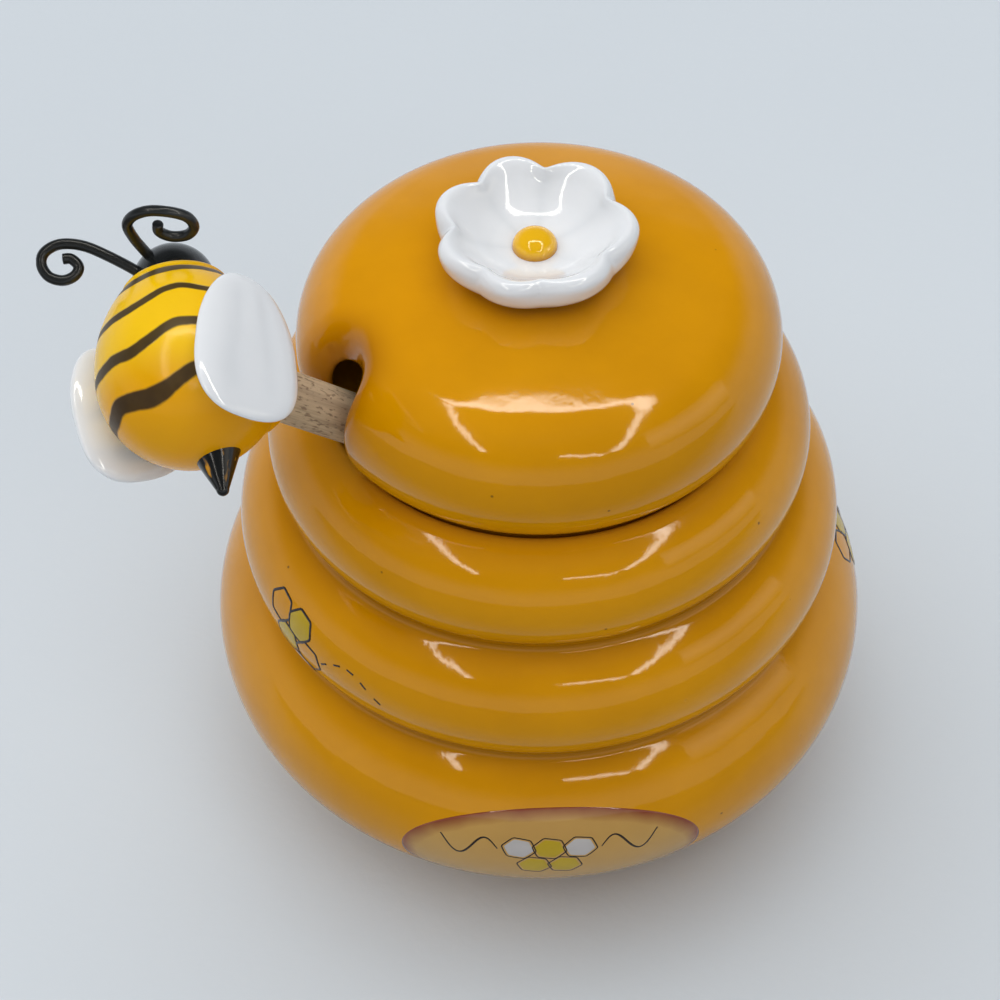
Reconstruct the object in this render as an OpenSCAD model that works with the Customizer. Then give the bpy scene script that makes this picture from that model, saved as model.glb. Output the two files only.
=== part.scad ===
// Beehive honey pot: a coiled stoneware pot with a lift-off lid, a flower knob on the lid,
// and a wooden honey dipper with a bee on its end that leans out through a notch in the lid.
// Origin: centre of the foot on the table. +Z runs up the pot's axis, the front faces -Y.

/* [Pot] */
// Outside diameter across the belly
belly_d = 114; // [112:0.5:116]
// Height of the belly's widest ring above the table
belly_z = 31; // [30:0.5:32]
// Radius of the belly's rounded side
belly_round = 18.5; // [17.5:0.5:19]
// Outside diameter of the middle coil
middle_d = 100.8; // [99:0.2:102]
// Height of the middle coil's widest ring
middle_z = 57; // [56.5:0.5:57.5]
// Radius of the middle coil's rounded side
middle_round = 11.9; // [11.5:0.1:12.5]
// Outside diameter of the top coil
top_d = 87.8; // [86:0.2:89]
// Height of the top coil's widest ring
top_z = 76.6; // [76:0.1:77.2]
// Radius of the top coil's rounded side
top_round = 10.3; // [10:0.1:10.8]
// Thickness of the pot's wall
wall = 4.5; // [4:0.1:5]
// Thickness of the pot's floor
floor_t = 5.5; // [5:0.5:7]
// Diameter of the foot that the pot stands on
foot_d = 68; // [66:1:70]
// Width of the foot's ring
foot_w = 5.5; // [4:0.5:7]
// Depth of the recess inside the foot's ring
foot_recess = 1.2; // [0.8:0.1:1.6]

/* [Mouth] */
// Height of the ledge inside the mouth that the lid rests on
seat_z = 82; // [81.5:0.1:82.5]
// Thickness of the ledge
ledge_t = 5; // [4:0.5:5]
// Diameter of the opening through the ledge
mouth_d = 57.6; // [57:0.2:58]
// Diameter of the recess above the ledge
recess_d = 67.2; // [67:0.1:67.6]
// Radius of the rolled lip round the recess
lip_round = 1.3; // [1:0.1:1.5]

/* [Lid] */
// Outside diameter of the lid
lid_d = 75.2; // [74.8:0.2:75.6]
// Height of the lid's widest ring when it is on the pot
lid_z = 96; // [95.8:0.1:96.2]
// Radius of the lid's rounded edge
lid_round = 12.3; // [12:0.1:12.6]
// Height of the top of the lid's dome
lid_top = 111.4; // [111:0.1:111.8]
// Thickness of the lid's wall
lid_wall = 4.5; // [4:0.1:5]
// Gap between the lid's rim and the ledge it rests on
lid_gap = 0.1; // [0.05:0.05:0.2]
// Diameter of the rim that stands in the mouth's recess
rim_d = 66; // [65.6:0.1:66.2]
// Outside diameter of the flange that keeps the lid central
flange_d = 56.6; // [56:0.2:57]
// Thickness of the flange
flange_t = 2.8; // [2.4:0.1:3.2]
// How far the flange reaches below the rim
flange_h = 4.5; // [3.5:0.5:5]

/* [Notch for the dipper] */
// Distance from the lid's axis to the inner end of the notch
notch_in = 30.5; // [30:0.5:31]
// Width of the notch at its inner end
notch_w = 12; // [11:0.5:13]
// Angle by which each side of the notch opens outwards
notch_flare = 14; // [10:1:16]
// Radius of the notch's rounded lips
notch_lip = 4; // [3:0.5:4.5]
// Radius that rolls the top edge of the notch over
notch_roll = 3; // [2:0.5:3.5]

/* [Flower knob] */
// Radius of the flower over its petals
flower_r = 15.4; // [14.5:0.1:16]
// How deep the gaps between the petals cut in
petal_cut = 3; // [2:0.1:3.2]
// Height of the rolled rim of the petals
flower_top = 118.3; // [117.8:0.1:118.8]
// Place of the flower's middle on the lid
flower_at = [-0.6, 0.6];
// Angles of the gaps between the seven petals
petal_gaps = [-174, -126, -86, -34, 25, 83, 133, 186];
// Radius of the yellow centre
centre_r = 3.4; // [3:0.1:3.8]
// Height of the yellow centre's dome
centre_h = 2.9; // [1:0.1:3]

/* [Dipper] */
// Diameter of the stick
stick_d = 7.9; // [7.5:0.1:8]
// Direction in which the dipper leans out, from +X round to +Y
lean_dir = 208; // [206:0.5:210]
// Angle of the stick above level
lean_rise = 45.4; // [45:0.1:46]
// Distance from the pot's axis to the point where the stick crosses the rim
cross_r = 31; // [30.8:0.1:31.2]
// Height of that point
cross_z = 90.6; // [90.5:0.1:91]
// Length of the dipper from that point down to its tip
dipper_in = 98; // [94:1:99]
// Largest diameter of the grooved head
head_d = 22; // [20:0.5:23]
// Length of the grooved head
head_l = 27; // [25:0.5:28]
// Number of turned discs on the head
head_discs = 7; // [6:1:7]

/* [Bee] */
// Distance from the rim crossing to the middle of the bee's body
bee_out = 35; // [34:0.5:36]
// Turn of the bee's head round the stick
bee_turn = 159.4; // [150:0.2:170]
// Roll of the bee about its own length
bee_roll = 12; // [8:1:15]
// Radius of the body at its fattest
body_r = 13; // [12.6:0.1:13.4]
// Distance from the fattest place to the flat front where the head sits
body_front = 14.9; // [14.6:0.1:15.2]
// Radius of the head
bee_head_r = 6; // [5.8:0.1:6.4]
// Length of each wing
wing_l = 23.7; // [22:0.1:25]
// Width of each wing
wing_w = 15.3; // [14:0.1:16]
// Thickness of each wing
wing_t = 3.6; // [3:0.1:4]
// Diameter of the antenna wire
wire_d = 1.3; // [1.2:0.1:1.5]

/* [Hidden] */
$fn = 96;
eps = 0.01;
far = 60;

// Middles of the coils' rounded sides, as [radius, height]
belly_c = [belly_d / 2 - belly_round, belly_z];
middle_c = [middle_d / 2 - middle_round, middle_z];
top_c = [top_d / 2 - top_round, top_z];

// The belly runs down to the foot on a larger arc, which starts at this angle below level
under_from = 35;
under_round = 80;
under_top = belly_c + belly_round * [cos(under_from), -sin(under_from)];
under_c = under_top - under_round * [cos(under_from), -sin(under_from)];

// Where two circles cross on their outer side
function crossing(a, ra, b, rb) =
    let (d = norm(b - a), u = (b - a) / d, k = (d * d + ra * ra - rb * rb) / (2 * d),
         h = sqrt(ra * ra - k * k))
    a + k * u + h * [-u[1], u[0]];
crease_low = crossing(middle_c, middle_round, belly_c, belly_round);
crease_high = crossing(top_c, top_round, middle_c, middle_round);

// The lid's dome is one large arc that meets the rounded edge smoothly in the direction dome_end
lid_c = [lid_d / 2 - lid_round, lid_z];
lid_rise = lid_top - lid_z;
dome_r = (pow(lid_c[0], 2) + lid_rise * lid_rise - lid_round * lid_round) / (2 * (lid_rise - lid_round));
dome_c = [0, lid_top - dome_r];
dome_end = (lid_c - dome_c) / norm(lid_c - dome_c);
// The dome is cut flat where the flower is stuck on
knob_z = lid_top - 0.5;
// The flat floor of the flower's dish, which the yellow centre sits on
dish_z = knob_z + 2.1;

// Smooth closed ring of a tube or shell: triangles between rings of n points, with both ends closed
function skin(rings, n) = concat(
    [for (i = [0:rings - 2], j = [0:n - 1])
        let (a = i * n + j, b = i * n + (j + 1) % n) each [[a, a + n, b + n], [a, b + n, b]]],
    [[for (j = [0:n - 1]) j]],
    [[for (j = [n - 1:-1:0]) (rings - 1) * n + j]]);

// Pot

module coil(c, r) {
    translate(c) circle(r);
}

// Outline of the pot's outside, as a half section
module pot_outside() {
    coil(belly_c, belly_round);
    coil(middle_c, middle_round);
    coil(top_c, top_round);
    polygon([[0, belly_z - belly_round], belly_c - [0, belly_round], belly_c, middle_c, top_c,
             top_c + [0, top_round], [0, top_z + top_round]]);
    intersection() {
        translate(under_c) circle(under_round, $fn = 192);
        square([belly_d / 2, under_top[1]]);
    }
    square([foot_d / 2, 2]);
}

// Outline of the hollow below the ledge: it follows the coils one wall inside them
module pot_hollow() {
    ledge_bottom = seat_z - ledge_t;
    // the hollow behind the top coil is smaller, because the ledge takes some of its height
    bump_r = top_round - wall - 1.8;
    bump_c = [top_c[0], ledge_bottom - bump_r];
    // the wall is this much thicker where two coils are joined
    join = 0.6;
    coil(belly_c, belly_round - wall);
    coil(middle_c, middle_round - wall);
    coil(bump_c, bump_r);
    polygon([[0, belly_z], belly_c, crease_low - [wall + join, 0], middle_c,
             crease_high - [wall + join, 2], bump_c, bump_c + [0, bump_r], [0, ledge_bottom]]);
    intersection() {
        translate(under_c) circle(under_round - wall, $fn = 192);
        translate([0, floor_t]) square([belly_d / 2, under_top[1] + wall * sin(under_from) - floor_t]);
    }
    translate([0, under_top[1]]) square([belly_c[0], belly_z - under_top[1]]);
}

module pot() {
    color("#c98a10") rotate_extrude() difference() {
        pot_outside();
        pot_hollow();
        // opening through the ledge
        translate([0, seat_z - ledge_t - eps]) square([mouth_d / 2, far]);
        // recess for the lid's rim, with a rolled lip
        difference() {
            translate([0, seat_z]) square([recess_d / 2 + lip_round, far]);
            translate([recess_d / 2, seat_z - 1])
                square([far, top_z + top_round - lip_round - seat_z + 1]);
            translate([recess_d / 2 + lip_round, top_z + top_round - lip_round]) circle(lip_round);
        }
        square([foot_d / 2 - foot_w, foot_recess]);
    }
}

// Lid

// The dome's part of a half section, sunk by some depth: its arc ends where the edge's arc begins
module dome(sunk = 0) {
    edge = lid_round - sunk;
    coil(lid_c, edge);
    intersection() {
        translate(dome_c) circle(dome_r - sunk, $fn = 360);
        translate([0, lid_z]) square([lid_c[0], lid_top]);
        polygon([dome_c, dome_c + 1.4 * dome_r * dome_end, [0, 2 * lid_top]]);
    }
    polygon([[0, lid_z - lid_round], lid_c - [0, lid_round], lid_c, lid_c + edge * dome_end,
             [0, lid_top - sunk - 2]]);
}

// Outline of the lid's outside, as a half section
module lid_outside() {
    dome();
    translate([0, seat_z + lid_gap]) square([rim_d / 2, 6]);
    translate([0, seat_z + lid_gap - flange_h]) square([flange_d / 2, flange_h + 1]);
}

// Outline of the hollow under the dome
module lid_hollow() {
    dome(lid_wall);
    translate([0, seat_z - 2 * flange_h])
        square([flange_d / 2 - flange_t, lid_z - seat_z + 2 * flange_h]);
}

// Plan of the notch, opening towards +X: a round inner end, flared sides and rounded lips
module notch_plan(grow = 0) {
    r = notch_w / 2 + grow;
    a = notch_flare;
    c = [notch_in + notch_w / 2, 0];
    out = lid_d / 2 + 4;
    side = c + r * [-sin(a), cos(a)];
    edge = side[1] + (out - side[0]) * tan(a);
    translate(c) circle(r);
    polygon([[side[0], -side[1]], [out, -edge], [out, edge], side]);
}

// The two lips are rounded in plan by trimming the corner between the notch's side and the lid's edge
module notch_lips() {
    r = notch_w / 2;
    a = notch_flare;
    c = [notch_in + r, 0];
    // centre of the lip's arc: its distance is notch_lip from the side, and it lies inside the lid's edge
    reach = lid_d / 2 - notch_lip;
    off = r + notch_lip;
    // the arc's centre is on the line parallel to the side and on the circle of radius reach
    p = c + off * [-sin(a), cos(a)];
    d = [cos(a), sin(a)];
    b = p * d;
    t = -b + sqrt(b * b - p * p + reach * reach);
    m = p + t * d;
    on_side = m + notch_lip * [sin(a), -cos(a)];
    on_edge = m * (lid_d / 2) / reach;
    for (s = [-1, 1]) flipped(s) difference() {
        polygon([on_side, m, on_edge, on_edge * 1.2, on_side + 8 * d]);
        translate(m) circle(notch_lip);
    }
}

// Mirrored to the other side of the notch where s is below 0
module flipped(s) {
    if (s < 0) mirror([0, 1]) children();
    else children();
}

// Cutter that rolls the notch's inner top edge over, leaning with the slope of the lid's edge there
module notch_roller() {
    r = notch_w / 2;
    lean = asin((notch_in - lid_c[0]) / lid_round);
    // the roll begins this far below the lid's surface, so that it reads as a soft fold
    sunk = 1.4;
    translate([notch_in, 0, lid_z + lid_round * cos(lean)]) rotate([0, lean, 0])
        translate([r, 0, -sunk]) rotate_extrude() difference() {
            translate([0, -notch_roll]) square([r + notch_roll, 3 * notch_roll]);
            translate([r + notch_roll, -notch_roll]) circle(notch_roll);
        }
}

module lid() {
    under = seat_z - 2 * flange_h;
    // the slot through the rim and the flange is as high as the stick needs further in
    slot_top = lid_z - lid_round + 9.5;
    color("#c98a10") difference() {
        rotate_extrude() difference() {
            lid_outside();
            lid_hollow();
            translate([0, knob_z]) square([far, 2]);
        }
        rotate([0, 0, lean_dir]) {
            translate([0, 0, under]) linear_extrude(lid_top) {
                notch_plan();
                notch_lips();
            }
            translate([flange_d / 2 - 2 * flange_t, -notch_w / 2, under])
                cube([15, notch_w, slot_top - under]);
            notch_roller();
        }
    }
}

// Flower knob

// 0 in the gap between two petals, 1 on a petal's middle line
function petal(angle, k = 0) =
    angle < petal_gaps[k + 1]
        ? pow(sin(180 * (angle - petal_gaps[k]) / (petal_gaps[k + 1] - petal_gaps[k])), 0.55)
        : petal(angle, k + 1);

// The flower's section from its foot, up the outside, over the rim and down into the dish:
// each step is [radius, height, how much of the petals' cut shows there, how much the rim dips there]
flower_section = [
    [10.2, knob_z, 0.15, 0], [11.9, knob_z + 0.6, 0.35, 0], [14, knob_z + 1.9, 0.7, 0],
    [flower_r - 0.3, knob_z + 3.4, 0.9, 0], [flower_r, knob_z + 4.8, 1, 0.1],
    [flower_r - 0.4, knob_z + 6.1, 1, 0.2], [flower_r - 1.2, flower_top - 0.3, 1, 0.4],
    [flower_r - 2.2, flower_top, 0.95, 0.5], [flower_r - 3.4, flower_top - 0.6, 0.85, 0.4],
    [flower_r - 5, flower_top - 2, 0.6, 0.2], [8.4, dish_z + 1.7, 0.3, 0],
    [6.4, dish_z + 0.6, 0.1, 0], [4.4, dish_z, 0, 0]];

module knob_flower() {
    steps = 77;
    color("white") translate(flower_at) polyhedron(
        [for (s = flower_section, i = [0:steps - 1])
            let (a = petal_gaps[0] + 360 * i / steps, gap = 1 - petal(a),
                 r = s[0] - petal_cut * s[2] * gap)
            [r * cos(a), r * sin(a), s[1] - s[3] * gap]],
        skin(len(flower_section), steps));
}

module knob_centre() {
    ball = (centre_r * centre_r + centre_h * centre_h) / (2 * centre_h);
    color("#e0a60c") translate([flower_at[0], flower_at[1], dish_z]) intersection() {
        translate([0, 0, centre_h - ball]) sphere(ball);
        cylinder(h = 2 * centre_h, r = far);
    }
}

// Dipper: a turned stick whose own z axis runs outwards from the rim crossing

module on_dipper() {
    rotate([0, 0, lean_dir]) translate([cross_r, 0, cross_z]) rotate([0, 90 - lean_rise, 0]) children();
}

// Half section of the grooved head: round-edged discs that swell in the middle, on a thinner core
module head_section() {
    core = 0.56 * head_d / 2;
    pitch = head_l / head_discs;
    disc = 0.58 * pitch;
    // radius of the end discs as a share of the middle one's
    end_share = 0.74;
    square([core, head_l - disc / 2]);
    for (k = [0:head_discs - 1]) {
        z = (k + 0.35) * pitch;
        r = head_d / 2 * (end_share + (1 - end_share) * sin(180 * (k + 0.5) / head_discs));
        translate([0, z - disc / 2]) square([r - disc / 2, disc]);
        translate([r - disc / 2, z]) circle(disc / 2, $fn = 32);
    }
}

module dipper() {
    stick_l = dipper_in + bee_out;
    chamfer = 0.6;
    color("#c9a77c") on_dipper() translate([0, 0, -dipper_in]) rotate_extrude() {
        head_section();
        // shoulder that tapers from the head to the stick
        translate([0, head_l - 3]) polygon([[0, 0], [0.56 * head_d / 2, 0], [stick_d / 2, 9], [0, 9]]);
        // the stick's sawn end is chamfered
        polygon([[0, head_l], [stick_d / 2, head_l], [stick_d / 2, stick_l - chamfer],
                 [stick_d / 2 - chamfer, stick_l], [0, stick_l]]);
    }
}

// Bee: x to its right, y towards its head, z out of its back

module bee_frame() {
    on_dipper() translate([0, 0, bee_out]) rotate([0, 0, bee_turn]) rotate([0, -bee_roll, 0]) children();
}

fat_y = -2.5;
front_y = fat_y + body_front;
front_round = 20.8;
head_y = 12.9;

// The body is round behind, and its front half tapers on a longer arc
module body_egg() {
    translate([0, fat_y, 0]) rotate([-90, 0, 0]) rotate_extrude() {
        intersection() {
            circle(body_r);
            translate([0, -body_r]) square([body_r, body_r]);
        }
        intersection() {
            translate([body_r - front_round, 0]) circle(front_round, $fn = 128);
            square([body_r, body_front]);
        }
    }
}

module bee_body() {
    color("#f0b400") difference() {
        union() {
            bee_frame() body_egg();
            // neck of clay drawn down round the stick
            on_dipper() translate([0, 0, bee_out - 16]) cylinder(h = 6, r1 = 4.9, r2 = 8.4);
        }
        on_dipper() translate([0, 0, -dipper_in]) cylinder(h = dipper_in + bee_out, d = stick_d);
    }
}

module bee_head() {
    color("#1b1d1c") bee_frame() translate([0, head_y, 0]) rotate([-90, 0, 0]) rotate_extrude()
        intersection() {
            circle(bee_head_r);
            translate([0, front_y - head_y]) square([bee_head_r, 2 * bee_head_r]);
        }
}

// The sting points straight back, just below the tail's middle, and its base is hollowed to fit the tail
module bee_stinger() {
    base = 3.7;
    tip = 0.9;
    h = 6.4;
    sunk = 2;
    color("#1b1d1c") bee_frame() difference() {
        translate([0, fat_y - body_r + sunk, -2.3]) rotate([90, 0, 0]) rotate_extrude() {
            polygon([[0, 0], [base, 0], [tip, h], [0, h]]);
            intersection() {
                translate([0, h]) circle(tip, $fn = 24);
                translate([0, h]) square(tip);
            }
        }
        body_egg();
    }
}

// Half height of a wing at the share u of its radius and the angle a round its middle:
// a pillow with two shallow grooves along it
function wing_half(u, a) =
    wing_t / 2 * pow(1 - pow(u, 2.4), 0.5) * (1 - 0.16 * u * (1 - u) * 4 * pow(cos(2 * a), 2));

// Rounds a wing's ends off more bluntly than an ellipse
function blunt(v) = sign(v) * pow(abs(v), 0.9);

// A wing lies in the y-z plane of its own frame, narrow end towards +y
module wing() {
    n = 32;
    shares = [0.25, 0.5, 0.72, 0.88, 0.97];
    levels = concat([for (u = shares) [u, -1]], [[1, 0]], [for (k = [4:-1:0]) [shares[k], 1]]);
    polyhedron(
        [for (s = levels, i = [0:n - 1])
            let (a = 360 * i / n)
            [s[1] * wing_half(s[0], a),
             s[0] * wing_l / 2 * blunt(cos(a)),
             s[0] * wing_w / 2 * blunt(sin(a)) * (1 - 0.2 * cos(a))]],
        skin(len(levels), n));
}

// Each wing is pressed on by hand at its own place, so that the body's round side shapes its inner face
module wing_on_body(at, flare, tilt) {
    color("white") bee_frame() difference() {
        translate(at) rotate([0, 0, flare]) rotate([tilt, 0, 0]) wing();
        body_egg();
    }
}

module bee_wing_left() {
    wing_on_body([-13.9, -1, 2.6], -6, -18.5);
}

module bee_wing_right() {
    wing_on_body([13.9, -5.6, 0.8], 1, -6);
}

// Routes of the two hand-bent wires, in the bee's frame, from the head to the end of the scroll
route_left = [[-0.3, 12, 2.9], [-0.4, 14.2, 5.5], [-1.5, 17, 10.1], [-2.4, 18.3, 12.9], [-3.7, 18.7, 15.4],
              [-5.3, 18.1, 16.9], [-6.4, 16.8, 17.1], [-6.8, 15.2, 16], [-6.1, 14.4, 14.3],
              [-4.9, 14.7, 13], [-4.1, 15.8, 12.6], [-4.1, 16.9, 13.6], [-4.7, 17, 14.7]];
route_right = [[0.8, 12.5, 1.5], [1.3, 15, 3.3], [2.4, 16.1, 5.8], [3.8, 16.8, 8.1], [5.6, 17.2, 9.9],
               [7.8, 17.2, 10.1], [9.9, 16.9, 8.9], [11.5, 16.2, 6.6], [11.9, 15.7, 4.2], [10.7, 15.3, 2.5],
               [8.7, 15.3, 2.4], [7.1, 15.7, 3.9], [7.1, 16.1, 5.9], [8.5, 16.3, 6.8]];

// Smooth curve through a list of points: u runs along the list, one whole step a point
function clamp(v, lo, hi) = min(max(v, lo), hi);
function along(p, u) =
    let (last = len(p) - 1, i = clamp(floor(u), 0, last - 1), t = u - i,
         a = p[max(i - 1, 0)], b = p[i], c = p[i + 1], d = p[min(i + 2, last)])
    0.5 * (2 * b + (c - a) * t + (2 * a - 5 * b + 4 * c - d) * t * t + (3 * b - a - 3 * c + d) * t * t * t);
function unit(v) = v / norm(v);

// Wire swept along a route, its rings kept square to the route
module wire(route, aim) {
    sides = 8;
    per_step = 3;
    count = per_step * (len(route) - 1);
    polyhedron(
        [for (i = [0:count], j = [0:sides - 1])
            let (u = i / per_step,
                 dir = unit(along(route, min(u + 0.05, len(route) - 1)) - along(route, max(u - 0.05, 0))),
                 e = unit(cross(aim, dir)), f = cross(dir, e), a = 360 * j / sides,
                 // the ends are rounded off a little
                 r = wire_d / 2 * (i == 0 || i == count ? 0.6 : 1))
            along(route, u) + r * (cos(a) * e + sin(a) * f)],
        skin(count + 1, sides));
}

module bee_antenna_left() {
    color("#1b1d1c") bee_frame() difference() {
        wire(route_left, [0.71, -0.51, 0.48]);
        translate([0, head_y, 0]) sphere(bee_head_r);
    }
}

module bee_antenna_right() {
    color("#1b1d1c") bee_frame() difference() {
        wire(route_right, [0.01, -0.96, 0.27]);
        translate([0, head_y, 0]) sphere(bee_head_r);
    }
}

pot();
lid();
knob_flower();
knob_centre();
dipper();
bee_body();
bee_head();
bee_stinger();
bee_wing_left();
bee_wing_right();
bee_antenna_left();
bee_antenna_right();
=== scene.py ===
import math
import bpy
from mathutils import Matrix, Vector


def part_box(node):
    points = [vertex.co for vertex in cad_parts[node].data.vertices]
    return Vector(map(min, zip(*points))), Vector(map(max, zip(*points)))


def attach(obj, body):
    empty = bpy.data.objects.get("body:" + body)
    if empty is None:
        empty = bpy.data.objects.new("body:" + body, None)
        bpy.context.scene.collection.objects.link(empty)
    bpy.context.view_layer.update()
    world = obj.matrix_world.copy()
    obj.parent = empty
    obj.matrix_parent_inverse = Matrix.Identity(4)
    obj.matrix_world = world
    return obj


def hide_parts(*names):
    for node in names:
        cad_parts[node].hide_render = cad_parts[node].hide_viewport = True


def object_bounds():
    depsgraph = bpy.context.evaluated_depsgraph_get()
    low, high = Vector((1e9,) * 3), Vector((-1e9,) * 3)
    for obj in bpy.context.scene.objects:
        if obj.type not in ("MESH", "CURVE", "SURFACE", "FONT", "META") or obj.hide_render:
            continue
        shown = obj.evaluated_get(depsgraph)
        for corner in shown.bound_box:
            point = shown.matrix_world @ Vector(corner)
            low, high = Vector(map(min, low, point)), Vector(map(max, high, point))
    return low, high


bl_info = {
    "name": "Beehive honey pot",
    "version": (1, 0, 0),
    "blender": (4, 5, 0),
    "location": "3D View > Sidebar > Honey pot",
    "description": "Glazed pot, lid, flower knob, wooden dipper and bee, built on the packed frame",
    "category": "Object",
}

import bpy
import numpy as np
from bpy.props import FloatProperty, FloatVectorProperty, IntProperty, PointerProperty
from mathutils import Matrix, Vector

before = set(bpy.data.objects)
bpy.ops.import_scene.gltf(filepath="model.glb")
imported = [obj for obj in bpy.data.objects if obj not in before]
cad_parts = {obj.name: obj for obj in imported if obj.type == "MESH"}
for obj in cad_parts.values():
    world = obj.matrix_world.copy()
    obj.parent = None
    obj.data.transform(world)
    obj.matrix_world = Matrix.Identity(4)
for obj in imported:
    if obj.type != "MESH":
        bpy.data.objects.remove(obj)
CAD_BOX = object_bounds()

# Shapes below are worked out in millimetres, and a mesh is written in metres
MM = 0.001
# No new piece reaches past the frame's box less a hair's breadth, in millimetres
HAIR = 0.004
FRAME_BOX = np.array(CAD_BOX) / MM + [[HAIR], [-HAIR]]


# Sizes and colours

def length(name, description, default):
    return FloatProperty(name=name, description=description, default=default, unit="LENGTH", precision=5)


def colour(name, description, default):
    return FloatVectorProperty(name=name, description=description, default=default, subtype="COLOR",
                               size=4, min=0, max=1)


class PotShape(bpy.types.PropertyGroup):
    belly_radius: length("Belly radius", "Radius of the pot at its widest ring", 0.057)
    belly_height: length("Belly height", "Height of the widest ring", 0.031)
    belly_round: length("Belly rounding", "Radius of the belly's rounded side", 0.0185)
    middle_radius: length("Middle coil radius", "Radius of the pot at the middle coil", 0.0504)
    middle_height: length("Middle coil height", "Height of the middle coil's widest ring", 0.057)
    middle_round: length("Middle coil rounding", "Radius of the middle coil's rounded side", 0.0119)
    top_radius: length("Top coil radius", "Radius of the pot at the top coil", 0.0439)
    top_height: length("Top coil height", "Height of the top coil's widest ring", 0.0766)
    top_round: length("Top coil rounding", "Radius of the top coil's rounded side", 0.0103)
    wall: length("Wall", "Thickness of the pot's and the lid's wall", 0.0045)
    floor: length("Floor", "Thickness of the pot's floor", 0.0055)
    foot_radius: length("Foot radius", "Outer radius of the foot's ring", 0.034)
    seat_height: length("Seat height", "Height of the ledge that the lid rests on", 0.082)
    seat_radius: length("Seat radius", "Radius of the recess round the ledge", 0.0336)
    mouth_radius: length("Mouth radius", "Radius of the opening through the ledge", 0.0288)
    crease: length("Crease rounding", "Radius to which glaze fills the creases between coils", 0.0015)


class LidShape(bpy.types.PropertyGroup):
    radius: length("Lid radius", "Radius of the lid at its widest ring", 0.0376)
    height: length("Edge height", "Height of the lid's widest ring on the pot", 0.096)
    rounding: length("Edge rounding", "Radius of the lid's rounded edge", 0.0123)
    top: length("Dome height", "Height of the top of the dome", 0.1114)
    rim_radius: length("Rim radius", "Radius of the rim that stands in the pot's mouth", 0.033)
    flange_radius: length("Flange radius", "Outer radius of the flange below the rim", 0.0283)
    flange_wall: length("Flange wall", "Thickness of the flange", 0.0028)
    flange_depth: length("Flange depth", "How far the flange reaches below the rim", 0.0045)
    notch_inner: length("Notch reach", "Distance from the axis to the notch's inner end", 0.0303)
    notch_width: length("Notch width", "Width of the notch at its inner end", 0.012)
    notch_roll: length("Notch roll", "How softly the notch's edges are rolled over", 0.0046)
    dipper_turn: FloatProperty(name="Dipper turn", description="Direction in which the dipper leans out",
                               default=math.radians(208), subtype="ANGLE")


class FlowerShape(bpy.types.PropertyGroup):
    radius: length("Flower radius", "Radius over the petals", 0.0154)
    gap: length("Petal gap", "How deep the gaps between the petals cut in", 0.0035)
    foot: length("Foot height", "Height of the flower's foot on the lid", 0.1109)
    top: length("Rim height", "Height of the rolled rim of the petals", 0.1183)


class BeeShape(bpy.types.PropertyGroup):
    body_radius: length("Body radius", "Radius of the body at its fattest", 0.013)
    body_front: length("Body front", "Distance from the fattest ring to the flat front", 0.0149)
    wing_length: length("Wing length", "Length of each wing", 0.0237)
    wing_width: length("Wing width", "Width of each wing", 0.0153)
    wing_thickness: length("Wing thickness", "Thickness of each wing", 0.0036)
    wire_radius: length("Wire radius", "Radius of the antennae's wire", 0.00078)
    turn: FloatProperty(name="Turn", description="Turn of the bee's head round the stick",
                        default=math.radians(159.4), subtype="ANGLE")
    roll: FloatProperty(name="Roll", description="Roll of the bee about its own length",
                        default=math.radians(12), subtype="ANGLE")


class Finishes(bpy.types.PropertyGroup):
    amber: colour("Amber glaze", "Honey glaze where it lies at its usual thickness", (0.72, 0.31, 0.0, 1))
    # the pooled colour is also used for painted shade in creases, hollows and under edges
    amber_pool_and_shade: colour("Pooled glaze", "Honey glaze where it has gathered in a crease", (0.36, 0.13, 0.0, 1))
    # the thin colour is also used for a faint painted sheen along each coil's widest ring
    amber_thin_and_sheen: colour("Thin glaze", "Honey glaze where it has run thin on an edge", (0.80, 0.45, 0.05, 1))
    bare_clay: colour("Bare clay", "Unglazed clay of the foot's ring", (0.62, 0.50, 0.38, 1))
    white: colour("White glaze", "Glaze of the flower and the wings", (0.88, 0.90, 0.925, 1))
    yellow: colour("Bee yellow", "Glaze of the bee's back", (1.0, 0.61, 0.0, 1))
    # the bee amber is also used for painted shade on the belly and tail
    yellow_deep_and_shade: colour("Bee amber", "Glaze of the bee's belly and tail", (0.92, 0.40, 0.0, 1))
    black: colour("Black", "Glaze and enamel of the head, sting, stripes and antennae", (0.006, 0.007, 0.007, 1))
    stripe: colour("Stripe", "Brushed brown of the stripes", (0.018, 0.010, 0.004, 1))
    wood: colour("Beech", "Pale wood of the dipper", (0.68, 0.52, 0.32, 1))
    wood_dark: colour("Beech fleck", "Rays and flecks of the wood", (0.20, 0.12, 0.07, 1))
    label: colour("Label", "Middle of the oval label", (0.59, 0.34, 0.09, 1))
    # the label rim colour holds painted shade of an inset's edge as well as a brushed brown
    label_rim_and_shade: colour("Label rim", "Brushed rim of the oval label", (0.24, 0.045, 0.02, 1))
    floor: colour("Table", "Plain pale table", (0.63, 0.685, 0.735, 1))


class HoneyPot(bpy.types.PropertyGroup):
    pot: PointerProperty(type=PotShape)
    lid: PointerProperty(type=LidShape)
    flower: PointerProperty(type=FlowerShape)
    bee: PointerProperty(type=BeeShape)
    finish: PointerProperty(type=Finishes)
    around: IntProperty(name="Steps around", description="Points round the pot", default=240, min=96, max=300)


def mm(group, *names):
    """The named sizes of a property group in millimetres."""
    return [getattr(group, n) / MM for n in names]


# Curves and grids of points

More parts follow.
